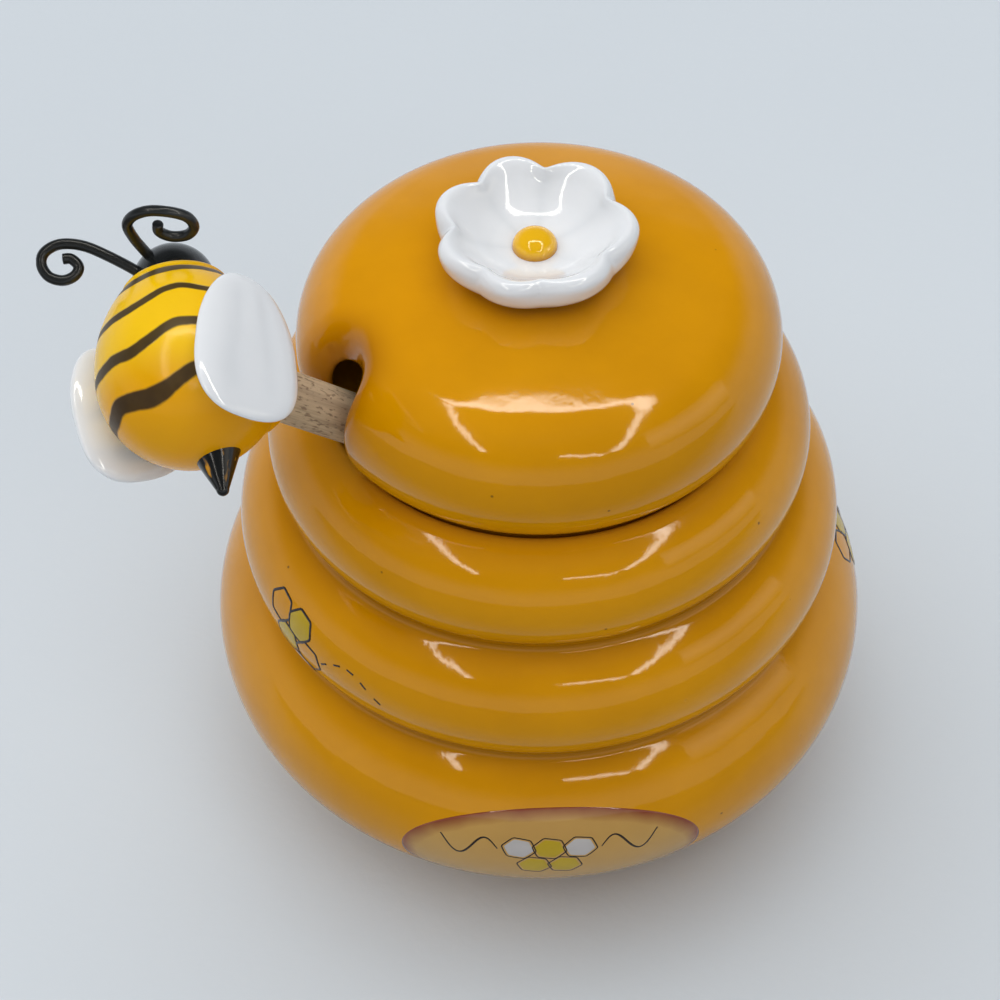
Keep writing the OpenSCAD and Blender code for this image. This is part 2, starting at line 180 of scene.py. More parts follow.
def arc(centre, radius, start, end, count):
    """Points on a circle of the given radius about a centre, from one angle to another, in degrees."""
    a = np.radians(np.linspace(start, end, count))
    return np.stack([centre[0] + radius * np.cos(a), centre[1] + radius * np.sin(a)], 1)


def ring(count):
    """Angles evenly round a full turn, in radians."""
    return np.linspace(0, 2 * math.pi, count, endpoint=False)


def bearing(v):
    """Angle of a flat vector in degrees."""
    return math.degrees(math.atan2(v[1], v[0]))


def spaced(path, count):
    """The same path with its points spread evenly along its length."""
    d = np.r_[0, np.cumsum(np.linalg.norm(np.diff(path, axis=0), axis=1))]
    t = np.linspace(0, d[-1], count)
    return np.stack([np.interp(t, d, path[:, k]) for k in range(path.shape[1])], 1)


def softened(path, passes):
    """The path with each inner point moved to the mean of itself and its neighbours, a number of times."""
    p = path.copy()
    for _ in range(passes):
        p[1:-1] = (p[:-2] + 2 * p[1:-1] + p[2:]) / 4
    return p


def smooth(x, low, high):
    """0 below low, 1 above high, and an S-shaped rise between them."""
    t = np.clip((x - low) / (high - low), 0, 1)
    return t * t * (3 - 2 * t)


def meeting(c1, r1, c2, r2):
    """Where a circle of radius r1 about c1 crosses one of radius r2 about c2, on the outer side."""
    c1, c2 = np.array(c1, float), np.array(c2, float)
    d = np.linalg.norm(c2 - c1)
    u = (c2 - c1) / d
    k = (d * d + r1 * r1 - r2 * r2) / (2 * d)
    return c1 + k * u + math.sqrt(r1 * r1 - k * k) * np.array([u[1], -u[0]])


def turned(profile, angles):
    """Profile points (radius, height) carried round the z axis: a grid with one row a point, one column an angle."""
    r, z = profile[:, 0][:, None], profile[:, 1][:, None]
    a = angles[None, :]
    return np.stack([r * np.cos(a), r * np.sin(a), z + 0 * a], -1)


def along(route, count):
    """A smooth curve through the route's points: on each span a cubic whose slope at a point
    is half the step between that point's neighbours."""
    p = np.asarray(route, float)
    u = np.linspace(0, len(p) - 1, count)
    i = np.minimum(u.astype(int), len(p) - 2)
    t = (u - i)[:, None]
    a, b, c, d = p[np.maximum(i - 1, 0)], p[i], p[i + 1], p[np.minimum(i + 2, len(p) - 1)]
    return 0.5 * (2 * b + (c - a) * t + (2 * a - 5 * b + 4 * c - d) * t ** 2 + (3 * b - a - 3 * c + d) * t ** 3)


def unit(v):
    return v / np.maximum(np.linalg.norm(v, axis=-1, keepdims=True), 1e-9)


def tube(path, radius, aim, sides):
    """Rings of points about a path. Each ring lies square to the path, with one axis square to aim too.
    radius may change along the path."""
    tangent = unit(np.gradient(path, axis=0))
    e = unit(np.cross(np.broadcast_to(aim, path.shape), tangent))
    f = np.cross(tangent, e)
    a = ring(sides)[None, :, None]
    r = np.broadcast_to(radius, len(path))[:, None, None]
    return path[:, None] + r * (np.cos(a) * e[:, None] + np.sin(a) * f[:, None])


# Meshes

def grid_mesh(name, grids, values=None):
    """One mesh of one or more grids of points. A row is a closed ring, rows are joined by quads,
    and each end is closed by a fan to the mean of its ring. Faces are turned to point outwards."""
    verts, faces, total = [], [], 0
    extra = {k: [] for k in (values or {})}
    for g, rows in enumerate(grids):
        n, m = rows.shape[:2]
        i, j = np.arange(n - 1)[:, None], np.arange(m)[None, :]
        k = (j + 1) % m
        quads = np.stack([i * m + j, i * m + k, (i + 1) * m + k, (i + 1) * m + j], -1).reshape(-1, 4)
        j, k = np.arange(m), (np.arange(m) + 1) % m
        first = np.stack([np.full(m, n * m), k, j], -1)
        last = np.stack([np.full(m, n * m + 1), (n - 1) * m + j, (n - 1) * m + k], -1)
        points = np.concatenate([rows.reshape(-1, 3), rows[0].mean(0)[None], rows[-1].mean(0)[None]])
        points = np.clip(points, *FRAME_BOX)
        a, b, c, d = (points[quads[:, q]] for q in range(4))
        volume = (a * np.cross(b, c)).sum() + (a * np.cross(c, d)).sum()
        if volume < 0:
            quads, first, last = quads[:, ::-1], first[:, ::-1], last[:, ::-1]
        verts.append(points)
        faces += (quads + total).tolist() + (first + total).tolist() + (last + total).tolist()
        total += len(points)
        for key in extra:
            v = values[key][g]
            extra[key].append(np.concatenate([v.ravel(), [v[0].mean(), v[-1].mean()]]))
    mesh = bpy.data.meshes.new(name)
    mesh.from_pydata((np.concatenate(verts) * MM).tolist(), [], faces)
    finish_mesh(mesh, {k: np.concatenate(v) for k, v in extra.items()})
    return mesh


def finish_mesh(mesh, values):
    """Smooth shading, and one number a vertex under each name."""
    mesh.polygons.foreach_set("use_smooth", np.ones(len(mesh.polygons), bool))
    for key, v in values.items():
        mesh.attributes.new(key, "FLOAT", "POINT").data.foreach_set("value", v.astype(np.float32))
    mesh.update()


def place(name, mesh, body, material, node=None):
    """A new piece that rides on a body, in place of a node of the frame if one is named."""
    piece = bpy.data.objects.new(name, mesh)
    bpy.context.scene.collection.objects.link(piece)
    mesh.materials.append(material)
    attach(piece, body)
    if node:
        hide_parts(node)


def repaint(node, material):
    """Gives a node of the frame a new material."""
    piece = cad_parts[node]
    piece.data.materials.clear()
    piece.data.materials.append(material)


# Shader groups

def group(name, inputs, outputs):
    """A new shader group. inputs gives each socket's default, or None for a vector; outputs are all numbers."""
    tree = bpy.data.node_groups.new(name, "ShaderNodeTree")
    for n, value in inputs.items():
        kind = "NodeSocketVector" if value is None else "NodeSocketFloat"
        socket = tree.interface.new_socket(n, in_out="INPUT", socket_type=kind)
        if value is not None:
            socket.default_value = value
    for n in outputs:
        tree.interface.new_socket(n, in_out="OUTPUT", socket_type="NodeSocketFloat")
    w = Wiring(tree)
    return tree, w, tree.nodes.new("NodeGroupInput").outputs, tree.nodes.new("NodeGroupOutput").inputs


class Wiring:
    """Short ways to add nodes to a tree and link them."""

    def __init__(self, tree):
        self.tree = tree

    def add(self, kind, links=(), **settings):
        node = self.tree.nodes.new(kind)
        for key, value in settings.items():
            setattr(node, key, value)
        for socket, value in dict(links).items():
            self.put(node.inputs[socket], value)
        return node

    def put(self, socket, value):
        if isinstance(value, bpy.types.NodeSocket):
            self.tree.links.new(value, socket)
        else:
            socket.default_value = value

    def math(self, operation, a, b=0.0, clamp=False):
        n = self.add("ShaderNodeMath", operation=operation, use_clamp=clamp)
        self.put(n.inputs[0], a)
        self.put(n.inputs[1], b)
        return n.outputs[0]

    def times(self, a, b, clamp=False):
        return self.math("MULTIPLY", a, b, clamp)

    def span(self, value, low, high, to_low=0.0, to_high=1.0):
        n = self.add("ShaderNodeMapRange", {"Value": value, "From Min": low, "From Max": high,
                                            "To Min": to_low, "To Max": to_high}, interpolation_type="SMOOTHSTEP")
        return n.outputs["Result"]

    def mix(self, factor, a, b):
        n = self.add("ShaderNodeMix", data_type="RGBA")
        self.put(n.inputs[0], factor)
        self.put(n.inputs[6], a)
        self.put(n.inputs[7], b)
        return n.outputs[2]

    def noise(self, vector, scale, detail=3.0, rough=0.5):
        return self.add("ShaderNodeTexNoise", {"Vector": vector, "Scale": scale, "Detail": detail,
                                               "Roughness": rough}).outputs["Fac"]

    def value(self, name):
        return self.add("ShaderNodeAttribute", attribute_name=name, attribute_type="GEOMETRY").outputs["Fac"]

    def place(self):
        return self.add("ShaderNodeTexCoord").outputs["Object"]

    def axis(self, vector, name):
        return self.add("ShaderNodeSeparateXYZ", {"Vector": vector}).outputs[name]

    def mapped(self, vector, **change):
        return self.add("ShaderNodeMapping", {"Vector": vector, **change}).outputs[0]

    def group(self, maker, **links):
        n = self.tree.nodes.new("ShaderNodeGroup")
        n.node_tree = shared(maker)
        for socket, value in links.items():
            self.put(n.inputs[socket], value)
        return n.outputs

    def skin(self, vector, swell, peel):
        return self.group(glaze_skin, Vector=vector, Swell=swell, Peel=peel)

    def specks(self, vector, scale, amount):
        return self.group(kiln_specks, Vector=vector, Scale=scale, Amount=amount)["Mask"]

    def feed(self, socket, value):
        """Sets or links a socket of the material's own shader."""
        self.put(self.shader.inputs[socket], value)

    def bump(self, height, distance, coat=False):
        normal = self.add("ShaderNodeBump", {"Height": height, "Distance": distance}).outputs[0]
        self.feed("Normal", normal)
        if coat:
            self.feed("Coat Normal", normal)


def kiln_specks():
    """Specks and pinholes of a fired glaze: small round spots at random, some of them missing."""
    tree, w, given, out = group("Kiln specks", {"Vector": None, "Scale": 260.0, "Amount": 0.2}, ["Mask"])
    cell = w.add("ShaderNodeTexVoronoi", {"Vector": given["Vector"], "Scale": given["Scale"]})
    spot = w.span(cell.outputs["Distance"], 0.04, 0.10, 1.0, 0.0)
    chance = w.add("ShaderNodeSeparateColor", {"Color": cell.outputs["Color"]}).outputs[0]
    w.put(out["Mask"], w.times(spot, w.math("LESS_THAN", chance, given["Amount"])))
    return tree


def glaze_skin():
    """The slight unevenness of a glaze: broad swells with a faint orange peel on them."""
    tree, w, given, out = group("Glaze skin", {"Vector": None, "Swell": 1.0, "Peel": 0.15}, ["Height", "Cloud"])
    swell = w.times(w.noise(given["Vector"], 70.0, 2.0), given["Swell"])
    peel = w.times(w.noise(given["Vector"], 900.0, 1.0), given["Peel"])
    w.put(out["Height"], w.math("ADD", swell, peel))
    w.put(out["Cloud"], w.noise(given["Vector"], 32.0, 4.0, 0.6))
    return tree


def brush_edge():
    """A brushed shape from the distance to its outline: 1 inside, 0 outside, with a soft and slightly ragged edge."""
    tree, w, given, out = group("Brush edge", {"Vector": None, "Distance": 0.0, "Ragged": 0.2, "Soft": 0.25},
                                ["Mask"])
    rag = w.times(w.math("SUBTRACT", w.noise(given["Vector"], 420.0, 3.0), 0.5), given["Ragged"])
    edge = w.math("DIVIDE", w.math("ADD", given["Distance"], rag), given["Soft"])
    w.put(out["Mask"], w.span(edge, 1.0, -1.0))
    return tree


SHARED = {}


def shared(maker):
    """A shader group that is built the first time it is asked for."""
    if maker.__name__ not in SHARED:
        SHARED[maker.__name__] = maker()
    return SHARED[maker.__name__]


def new_material(name, roughness, coat=0.0, ior=1.5):
    """Wiring of a new material with one Principled shader, whose steady settings are plain numbers."""
    m = bpy.data.materials.new(name)
    m.use_nodes = True
    w = Wiring(m.node_tree)
    w.material, w.shader = m, m.node_tree.nodes["Principled BSDF"]
    for socket, value in (("Roughness", roughness), ("Coat Weight", coat), ("Coat Roughness", 0.03), ("IOR", ior)):
        w.shader.inputs[socket].default_value = value
    return w


def made(name, maker, finish):
    """The material of that name, built the first time it is asked for."""
    return bpy.data.materials.get(name) or maker(finish)


def amber_glaze(c):
    """Honey glaze: darker where glaze has gathered in the creases, together with painted shade in creases, hollows
    and under edges; paler where it has run thin on the lip, and along each coil's widest ring as a faint painted
    sheen; clouded a little, with brown specks and pinholes. The foot's ring is bare clay."""
    w = new_material("Amber glaze", 0.07, coat=0.1, ior=1.42)
    at = w.place()
    skin = w.skin(at, 1.0, 0.05)
    cloud = w.span(skin["Cloud"], 0.35, 0.7)
    base = w.mix(w.times(cloud, 0.2), c.amber, c.amber_pool_and_shade)
    # darker where glaze gathers, and painted shade in creases, hollows and under edges
    pool_and_shade = w.times(w.value("pool_and_shade"), 0.85, clamp=True)
    base = w.mix(pool_and_shade, base, c.amber_pool_and_shade)
    # paler where glaze runs thin on the lip, and a faint painted sheen along each coil's widest ring
    base = w.mix(w.times(w.value("thin"), 0.5, clamp=True), base, c.amber_thin_and_sheen)
    specks = w.specks(at, 300.0, 0.05)
    base = w.mix(w.times(specks, 0.75), base, (0.06, 0.025, 0.004, 1))
    bare = w.value("bare")
    w.feed("Base Color", w.mix(bare, base, c.bare_clay))
    pins = w.specks(at, 480.0, 0.02)
    w.feed("Roughness", w.math("ADD", w.times(bare, 0.7), 0.07))
    w.feed("Coat Weight", w.times(w.math("SUBTRACT", 1.0, bare), 0.1))
    height = w.math("SUBTRACT", skin["Height"], w.times(pins, 0.3))
    w.bump(height, 0.00022, coat=True)
    return w.material


def white_glaze(c):
    """Glossy white with a painted bluish shade in the grooves, gaps and hollows that the mesh marks, and a few
    pinholes.
    """
    shade = (0.62, 0.66, 0.70, 1)
    w = new_material("White glaze", 0.08, coat=0.6)
    at = w.place()
    skin = w.skin(at, 0.8, 0.12)
    base = w.mix(w.times(w.span(skin["Cloud"], 0.4, 0.7), 0.15), c.white, shade)
    # painted bluish shade where the mesh marks grooves, gaps and hollows
    base = w.mix(w.times(w.value("pool_and_shade"), 0.35, clamp=True), base, shade)
    specks = w.specks(at, 420.0, 0.012)
    w.feed("Base Color", w.mix(w.times(specks, 0.5), base, (0.30, 0.24, 0.18, 1)))
    w.bump(skin["Height"], 0.0001, coat=True)
    return w.material


def yellow_centre(c):
    """Yellow glaze bead, darker and more orange in its lower part where it meets the white, as painted shade at its
    foot.
    """
    w = new_material("Yellow centre", 0.08, coat=0.4)
    at = w.place()
    skin = w.skin(at, 0.7, 0.1)
    height = w.axis(at, "Z")
    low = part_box("knob_centre")[0][2]
    # painted shade on the bead's lower part
    edge = w.span(height, low, low + 0.0012, 1.0, 0.0)
    base = w.mix(edge, (0.90, 0.50, 0.005, 1), (0.62, 0.28, 0.002, 1))
    w.feed("Base Color", w.mix(w.times(skin["Cloud"], 0.15), base, c.amber_pool_and_shade))
    w.bump(skin["Height"], 0.0001)
    return w.material


def black_gloss(c, name, roughness, peel):
    """Near-black glaze or enamel with a faint grey bloom."""
    w = new_material(name, roughness, coat=0.2)
    at = w.place()
    skin = w.skin(at, 0.6, peel)
    w.feed("Base Color", w.mix(w.times(w.span(skin["Cloud"], 0.45, 0.75), 0.5),
                                             c.black, (0.03, 0.034, 0.036, 1)))
    w.feed("Roughness", w.math("ADD", w.times(skin["Cloud"], 0.15), roughness))
    w.bump(skin["Height"], 0.00012)
    return w.material


def sting_black(c, centre, back):
    """Black glaze with the yellow of the body showing in a few streaks that run to the tip."""
    w = new_material("Sting glaze", 0.2, coat=0.2)
    at = w.place()
    aim = Vector(back).rotation_difference(Vector((0, 0, 1))).to_euler()
    spot = Vector(centre) * MM
    turned_at = w.mapped(at, Location=-spot)
    turned_at = w.mapped(turned_at, Rotation=aim)
    streaks = w.mapped(turned_at, Scale=(1.0, 1.0, 0.12))
    mask = w.span(w.noise(streaks, 520.0, 2.0), 0.60, 0.68)
    w.feed("Base Color", w.mix(w.times(mask, 0.75), c.black, c.yellow_deep_and_shade))
    w.bump(w.noise(streaks, 300.0, 2.0), 0.0002)
    return w.material


def beech(c, stick):
    """Turned beech: fine grain along the stick, with short dark rays and flecks, and a dry sanded surface."""
    w = new_material("Beech", 0.6)
    at = w.place()
    aim = Vector(stick).rotation_difference(Vector((0, 0, 1))).to_euler()
    grain_at = w.mapped(at, Rotation=aim)
    long = w.mapped(grain_at, Scale=(1.0, 1.0, 0.05))
    grain = w.noise(long, 900.0, 4.0, 0.65)
    broad = w.noise(long, 160.0, 3.0)
    fleck_at = w.mapped(grain_at, Scale=(1.0, 1.0, 0.35))
    fleck = w.span(w.noise(fleck_at, 1900.0, 2.0, 0.6), 0.54, 0.66)
    base = w.mix(w.times(w.span(grain, 0.35, 0.7), 0.55), c.wood, c.wood_dark)
    base = w.mix(w.times(w.span(broad, 0.4, 0.7), 0.3), base, (0.62, 0.47, 0.34, 1))
    base = w.mix(w.times(fleck, 0.7), base, c.wood_dark)
    w.feed("Base Color", base)
    w.feed("Roughness", w.span(grain, 0.3, 0.7, 0.5, 0.7))
    w.bump(w.math("ADD", grain, w.times(fleck, -0.6)), 0.00012)
    return w.material


def bee_yellow(c):
    """Bee's body: bright yellow on the back, darkened to amber on the belly and tail as painted shade, with brushed
    brown stripes whose outline is the mesh's stripe value, a distance in millimetres."""
    w = new_material("Bee yellow", 0.2, ior=1.4)
    at = w.place()
    skin = w.skin(at, 0.8, 0.15)
    # painted shade: amber where the mesh's under value marks the belly and tail
    base = w.mix(w.value("under"), c.yellow, c.yellow_deep_and_shade)
    base = w.mix(w.times(w.span(skin["Cloud"], 0.4, 0.7), 0.2), base, (0.70, 0.34, 0.004, 1))
    stripe = w.group(brush_edge, Vector=at, Distance=w.value("stripe"), Ragged=0.35, Soft=0.2)["Mask"]
    streak = w.span(w.noise(at, 260.0, 3.0), 0.35, 0.75)
    brown = w.mix(w.times(streak, 0.5), c.stripe, (0.075, 0.042, 0.008, 1))
    w.feed("Base Color", w.mix(w.times(stripe, 0.96), base, brown))
    w.feed("Roughness", w.math("ADD", w.times(stripe, 0.2), 0.2))
    w.bump(w.math("ADD", skin["Height"], w.times(stripe, 0.3)), 0.00015)
    return w.material


def label_glaze(c):
    """Oval label: tan middle, and a rosy brown rim that is brushed on and fades inwards, with painted shade of an
    inset's edge in it that reaches further in at the top. The mesh's share value is 0 in the middle and 1 at the rim,
    and its high value is 1 at the top."""
    w = new_material("Label glaze", 0.1, coat=0.3)
    at = w.place()
    skin = w.skin(at, 0.8, 0.06)
    share = w.math("ADD", w.value("share"), w.times(w.math("SUBTRACT", w.noise(at, 190.0, 2.0), 0.5), 0.10))
    # the rim reaches further in at the top: painted shade along the label's upper edge
    reach = w.math("SUBTRACT", 0.91, w.times(w.value("high"), 0.10))
    rim = w.add("ShaderNodeMapRange", {"Value": share, "From Min": reach, "From Max": 1.0}).outputs["Result"]
    base = w.mix(w.times(w.span(skin["Cloud"], 0.35, 0.7), 0.3), c.label, (0.40, 0.21, 0.06, 1))
    w.feed("Base Color", w.mix(w.times(rim, 0.95, clamp=True), base, c.label_rim_and_shade))
    w.bump(skin["Height"], 0.0002, coat=True)
    return w.material


def enamel(name, colour_value):
    """Overglaze enamel for painted lines and cells, a little streaky."""
    w = new_material(name, 0.22, coat=0.1)
    at = w.place()
    streak = w.noise(at, 350.0, 3.0)
    dark = tuple(0.6 * v for v in colour_value[:3]) + (1,)
    w.feed("Base Color", w.mix(w.times(streak, 0.6), tuple(colour_value), dark))
    w.bump(streak, 0.00005)
    return w.material


def table_top(c):
    """Plain pale table. The camera and reflections see it as it is, and it keeps the shadow."""
    w = new_material("Table", 0.6)
    at = w.place()
    tone = w.span(w.noise(at, 6.0, 3.0), 0.3, 0.7)
    w.feed("Base Color", w.mix(w.times(tone, 0.12), c.floor, (0.54, 0.59, 0.64, 1)))
    w.bump(w.noise(at, 300.0, 3.0), 0.0001)
    return w.material


# Pot

def coil_middles(p):
    belly, middle, top = (mm(p, f"{k}_radius", f"{k}_height", f"{k}_round") for k in ("belly", "middle", "top"))
    return [(np.array([r - a, z]), a) for r, z, a in (belly, middle, top)]


def joined(coils, fill):
    """Outline over stacked circles, from the lowest circle's underside to the top circle's crown. Where two
    circles cross, an arc of radius fill that touches both from outside rounds the crease."""
    parts, creases = [], []
    start = -35.0
    for k, (c, r) in enumerate(coils):
        if k + 1 < len(coils):
            c2, r2 = coils[k + 1]
            f = meeting(c, r + fill, c2, r2 + fill)
            parts.append(arc(c, r, start, bearing(f - c), 60))
            parts.append(arc(f, fill, bearing(c - f) % 360, bearing(c2 - f) % 360, 14))
            creases.append(f - [fill, 0])
            start = bearing(f - c2)
        else:
            parts.append(arc(c, r, start, 83, 40))
    return np.concatenate(parts), creases


def pot_section(p):
    """Half section of the pot, from under the foot up the outside, over the lip and down the inside to the axis."""
    coils = coil_middles(p)
    (belly, belly_r), (middle, middle_r), (top, top_r) = coils
    wall, floor, foot, seat, recess, mouth = mm(p, "wall", "floor", "foot_radius", "seat_height", "seat_radius",
                                               "mouth_radius")
    turn = math.radians(35)
    way = np.array([math.cos(turn), -math.sin(turn)])
    under_r = 80
    under = belly + (belly_r - under_r) * way
    outside, creases = joined(coils, p.crease / MM)
    low = -math.degrees(math.asin((under[1] - 1.0) / under_r))
    foot_ring = np.array([[0, 1.2], [foot - 6.6, 1.2], [foot - 5.9, 0.9], [foot - 5.4, 0.3], [foot - 4.8, 0.05],
                          [foot - 4, 0], [foot - 1, 0], [foot - 0.4, 0.15]])
    crown = top[1] + top_r
    lip = arc([recess + 1.3, crown - 1.35], 1.3, 90, 180, 10)
    out = np.concatenate([foot_ring, arc(under, under_r, low, -35.5, 40), outside, lip])
    ledge = np.array([[recess, seat + 0.5], [recess - 0.15, seat + 0.15], [recess - 0.5, seat], [mouth + 0.5, seat],
                      [mouth + 0.15, seat - 0.15], [mouth, seat - 0.5], [mouth, seat - 4.6], [mouth + 0.4, seat - 5],
                      [recess - 1, seat - 5]])
    small = top_r - wall - 1.8
    inside = np.concatenate([
        arc([top[0], seat - 5 - small], small, 90, -40, 12), arc(middle, middle_r - wall, 50, -55, 20),
        arc(belly, belly_r - wall, 60, -35, 24),
        arc(under, under_r - wall, -35, -math.degrees(math.asin((under[1] - floor - 1) / (under_r - wall))), 16),
        [[29, floor + 0.1], [26, floor], [0.0, floor]]])
    return spaced(out, 190), spaced(ledge, 40), softened(spaced(inside, 90), 6), creases


def handmade(angle, height):
    """Factor on a radius: a two-sided and a three-sided wave of a few hundredths of a millimetre, shrunk so
    that the widest place stays inside the frame's box."""
    return 0.9986 + (0.0008 * np.sin(2 * angle + 0.7) + 0.0005 * np.sin(3 * angle + height / 9))


class HONEYPOT_OT_pot(bpy.types.Operator):
    """Builds the coiled pot: a half section carried round the axis, with rounded creases and a slight wave"""
    bl_idname = "honeypot.pot"
    bl_label = "Pot"

    def execute(self, context):
        s = context.scene.honey_pot
        out, ledge, inside, creases = pot_section(s.pot)
        section = np.concatenate([out, ledge[1:], inside[1:]])
        angles = ring(s.around)
        rows = turned(section[1:-1], angles)
        outer = np.arange(len(section) - 2) < len(out) - 12
        factor = np.where(outer[:, None], handmade(angles[None, :], rows[..., 2]), 1.0)
        rows[..., :2] *= factor[..., None]
        r, z = section[1:-1, 0], section[1:-1, 1]
        # darker near the creases between coils, low on the outside by the foot and over the inside: glaze gathered in
        # the creases, and painted shade in all three places
        near = sum(np.exp(-np.hypot(r - c[0], z - c[1]) / 1.5) for c in creases)
        inner = ~outer & (z < 81)
        pool_and_shade = near + 0.5 * np.exp(-np.abs(z - 2) / 2) * outer + 0.35 * inner
        # paler on the lip, where glaze runs thin, and a faint painted sheen along each coil's widest ring
        widest = sum(np.exp(-((z - c[1]) / 3.0) ** 2) * (np.abs(r - c[0] - a) < 1) for c, a in coil_middles(s.pot))
        lip_r, lip_z = 34.2, 86.6
        lip = np.exp(-np.hypot(r - lip_r, z - lip_z))
        bare = ((z < 0.5) & (r > 28)).astype(float)
        spread = lambda v: np.broadcast_to(v[:, None], rows.shape[:2])
        mesh = grid_mesh("pot_glazed", [rows], {"pool_and_shade": [spread(np.clip(pool_and_shade, 0, 1))],
                                                "thin": [spread(np.clip(0.12 * widest + lip, 0, 1))],
                                                "bare": [spread(bare)]})
        place("pot_glazed", mesh, "pot", made("Amber glaze", amber_glaze, s.finish), "pot")
        return {"FINISHED"}


# Lid

# Fixed places of the lid, in millimetres: the rim's lower edge and where rim and flange end inside the dome,
# how far the notch was drawn aside, the inner end and top of the slot through the flange, and the flower's middle
RIM_FOOT = 82.1
RIM_CROWN = 88.0
NOTCH_SHIFT = 0.7
SLOT_END, SLOT_TOP = 22.7, 93.2
FLOWER_MIDDLE = (-0.6, 0.6)
NET_STEP = 0.54


def soft_max(a, b, k):
    """The larger of two distances, with the corner between them rounded over a width k."""
    h = np.maximum(k - np.abs(a - b), 0) / k
    return np.maximum(a, b) + h * h * k / 4


def lid_distance(l, wall):
    """A function that gives how far a point is outside the lid's surface and outside the notch, in millimetres.
    The lid is a domed shell on a rim and a flange, less its hollow, less a round-ended flared notch, whose
    edges are rolled."""
    radius, height, rounding, top, rim, flange, flange_wall, flange_depth, inner, width, roll = mm(
        l, "radius", "height", "rounding", "top", "rim_radius", "flange_radius", "flange_wall", "flange_depth",
        "notch_inner", "notch_width", "notch_roll")
    edge = np.array([radius - rounding, height])
    rise = top - height
    dome_r = (edge[0] ** 2 + rise ** 2 - rounding ** 2) / (2 * (rise - rounding))
    dome_z = top - dome_r
    flare = math.radians(14)
    turn = l.dipper_turn

    def cap(r, z, sunk):
        in_dome = (z - dome_z) * edge[0] > r * (edge[1] - dome_z)
        over = np.where(in_dome, np.hypot(r, z - dome_z) - dome_r, np.hypot(r - edge[0], z - edge[1]) - rounding)
        under = np.maximum(over.clip(-sunk - 6), height - rounding - z)
        return np.where((r < edge[0]) & (z < height), under, over) + sunk

    def distance(p):
        x, y, z = p.T
        r = np.hypot(x, y)
        outer = np.minimum(cap(r, z, 0), np.maximum.reduce([r - rim, RIM_FOOT - z, z - RIM_CROWN]))
        outer = np.minimum(outer, np.maximum.reduce([r - flange, RIM_FOOT - flange_depth - z, z - RIM_CROWN]))
        outer = soft_max(outer, z - (top - 0.5), 0.15)
        way_in = np.maximum(r - flange + flange_wall, z - height)
        hollow = np.minimum(np.where((r < edge[0]) & (z < height), 9.0, cap(r, z, wall)), way_in)
        u, side = x * math.cos(turn) + y * math.sin(turn), y * math.cos(turn) - x * math.sin(turn)
        # the clay was drawn in a little on the notch's far side
        near = width / 2 - NOTCH_SHIFT
        v, du = np.abs(side - NOTCH_SHIFT), u - inner - near
        notch = np.where(du * math.cos(flare) + v * math.sin(flare) < 0, np.hypot(du, v),
                         v * math.cos(flare) - du * math.sin(flare)) - near
        slot = np.maximum.reduce([np.abs(side) - width / 2, SLOT_END - u, z - SLOT_TOP])
        softness = roll * (0.6 + 0.7 * smooth(-side, -2, 5))
        rolled = soft_max(outer, -notch, softness)
        return soft_max(soft_max(rolled, -hollow, 1.2), -slot, 0.8), notch

    return distance


def settled(points, distance, steps):
    """Points moved along the slope of a distance function until it is zero there."""
    e = 0.02
    for _ in range(steps):
        d = distance(points)[0]
        slope = np.stack([(distance(points + e * k)[0] - distance(points - e * k)[0]) / (2 * e)
                          for k in np.eye(3)], 1)
        size = np.maximum((slope ** 2).sum(1), 0.25)
        points = points - np.clip(d / size, -0.4, 0.4)[:, None] * slope
    return points


def netted(distance, low, high, step):
    """A closed net of quads near the zero of a distance function: a point in the middle of each cell of a cubic
    grid that the surface crosses, and a quad across each grid edge that it crosses, facing away from the inside."""
    axes = [np.arange(a, b, step) for a, b in zip(low, high)]
    grid = np.stack(np.meshgrid(*axes, indexing="ij"), -1)
    inside = (distance(grid.reshape(-1, 3))[0] < 0).reshape(grid.shape[:3])
    ends = (slice(0, -1), slice(1, None))
    corners = [inside[i, j, k] for i in ends for j in ends for k in ends]
    total = sum(c.astype(int) for c in corners)
    crossed = (total > 0) & (total < 8)
    index = np.full(crossed.shape, -1)
    index[crossed] = np.arange(crossed.sum())
    points = grid[:-1, :-1, :-1][crossed] + step / 2
    quads = []
    for a in range(3):
        b, c = (a + 1) % 3, (a + 2) % 3
        low_end = np.take(inside, np.arange(inside.shape[a] - 1), a)
        at = np.argwhere(low_end != np.take(inside, np.arange(1, inside.shape[a]), a))
        back_b, back_c = np.eye(3, dtype=int)[b], np.eye(3, dtype=int)[c]
        ring = [index[tuple((at - o).T)] for o in (0, back_b, back_b + back_c, back_c)]
        out = low_end[tuple(at.T)][:, None]
        quads.append(np.where(out, np.stack(ring, 1), np.stack(ring[::-1], 1)))
    return points, np.concatenate(quads)


def evened(points, pairs):
    """Points moved half way to the mean of the points that share an edge with them."""
    both = np.concatenate([pairs, pairs[:, ::-1]])
    count = np.bincount(both[:, 0], minlength=len(points))[:, None]
    total = np.stack([np.bincount(both[:, 0], points[both[:, 1], k], len(points)) for k in range(3)], 1)
    return (points + total / np.maximum(count, 1)) / 2


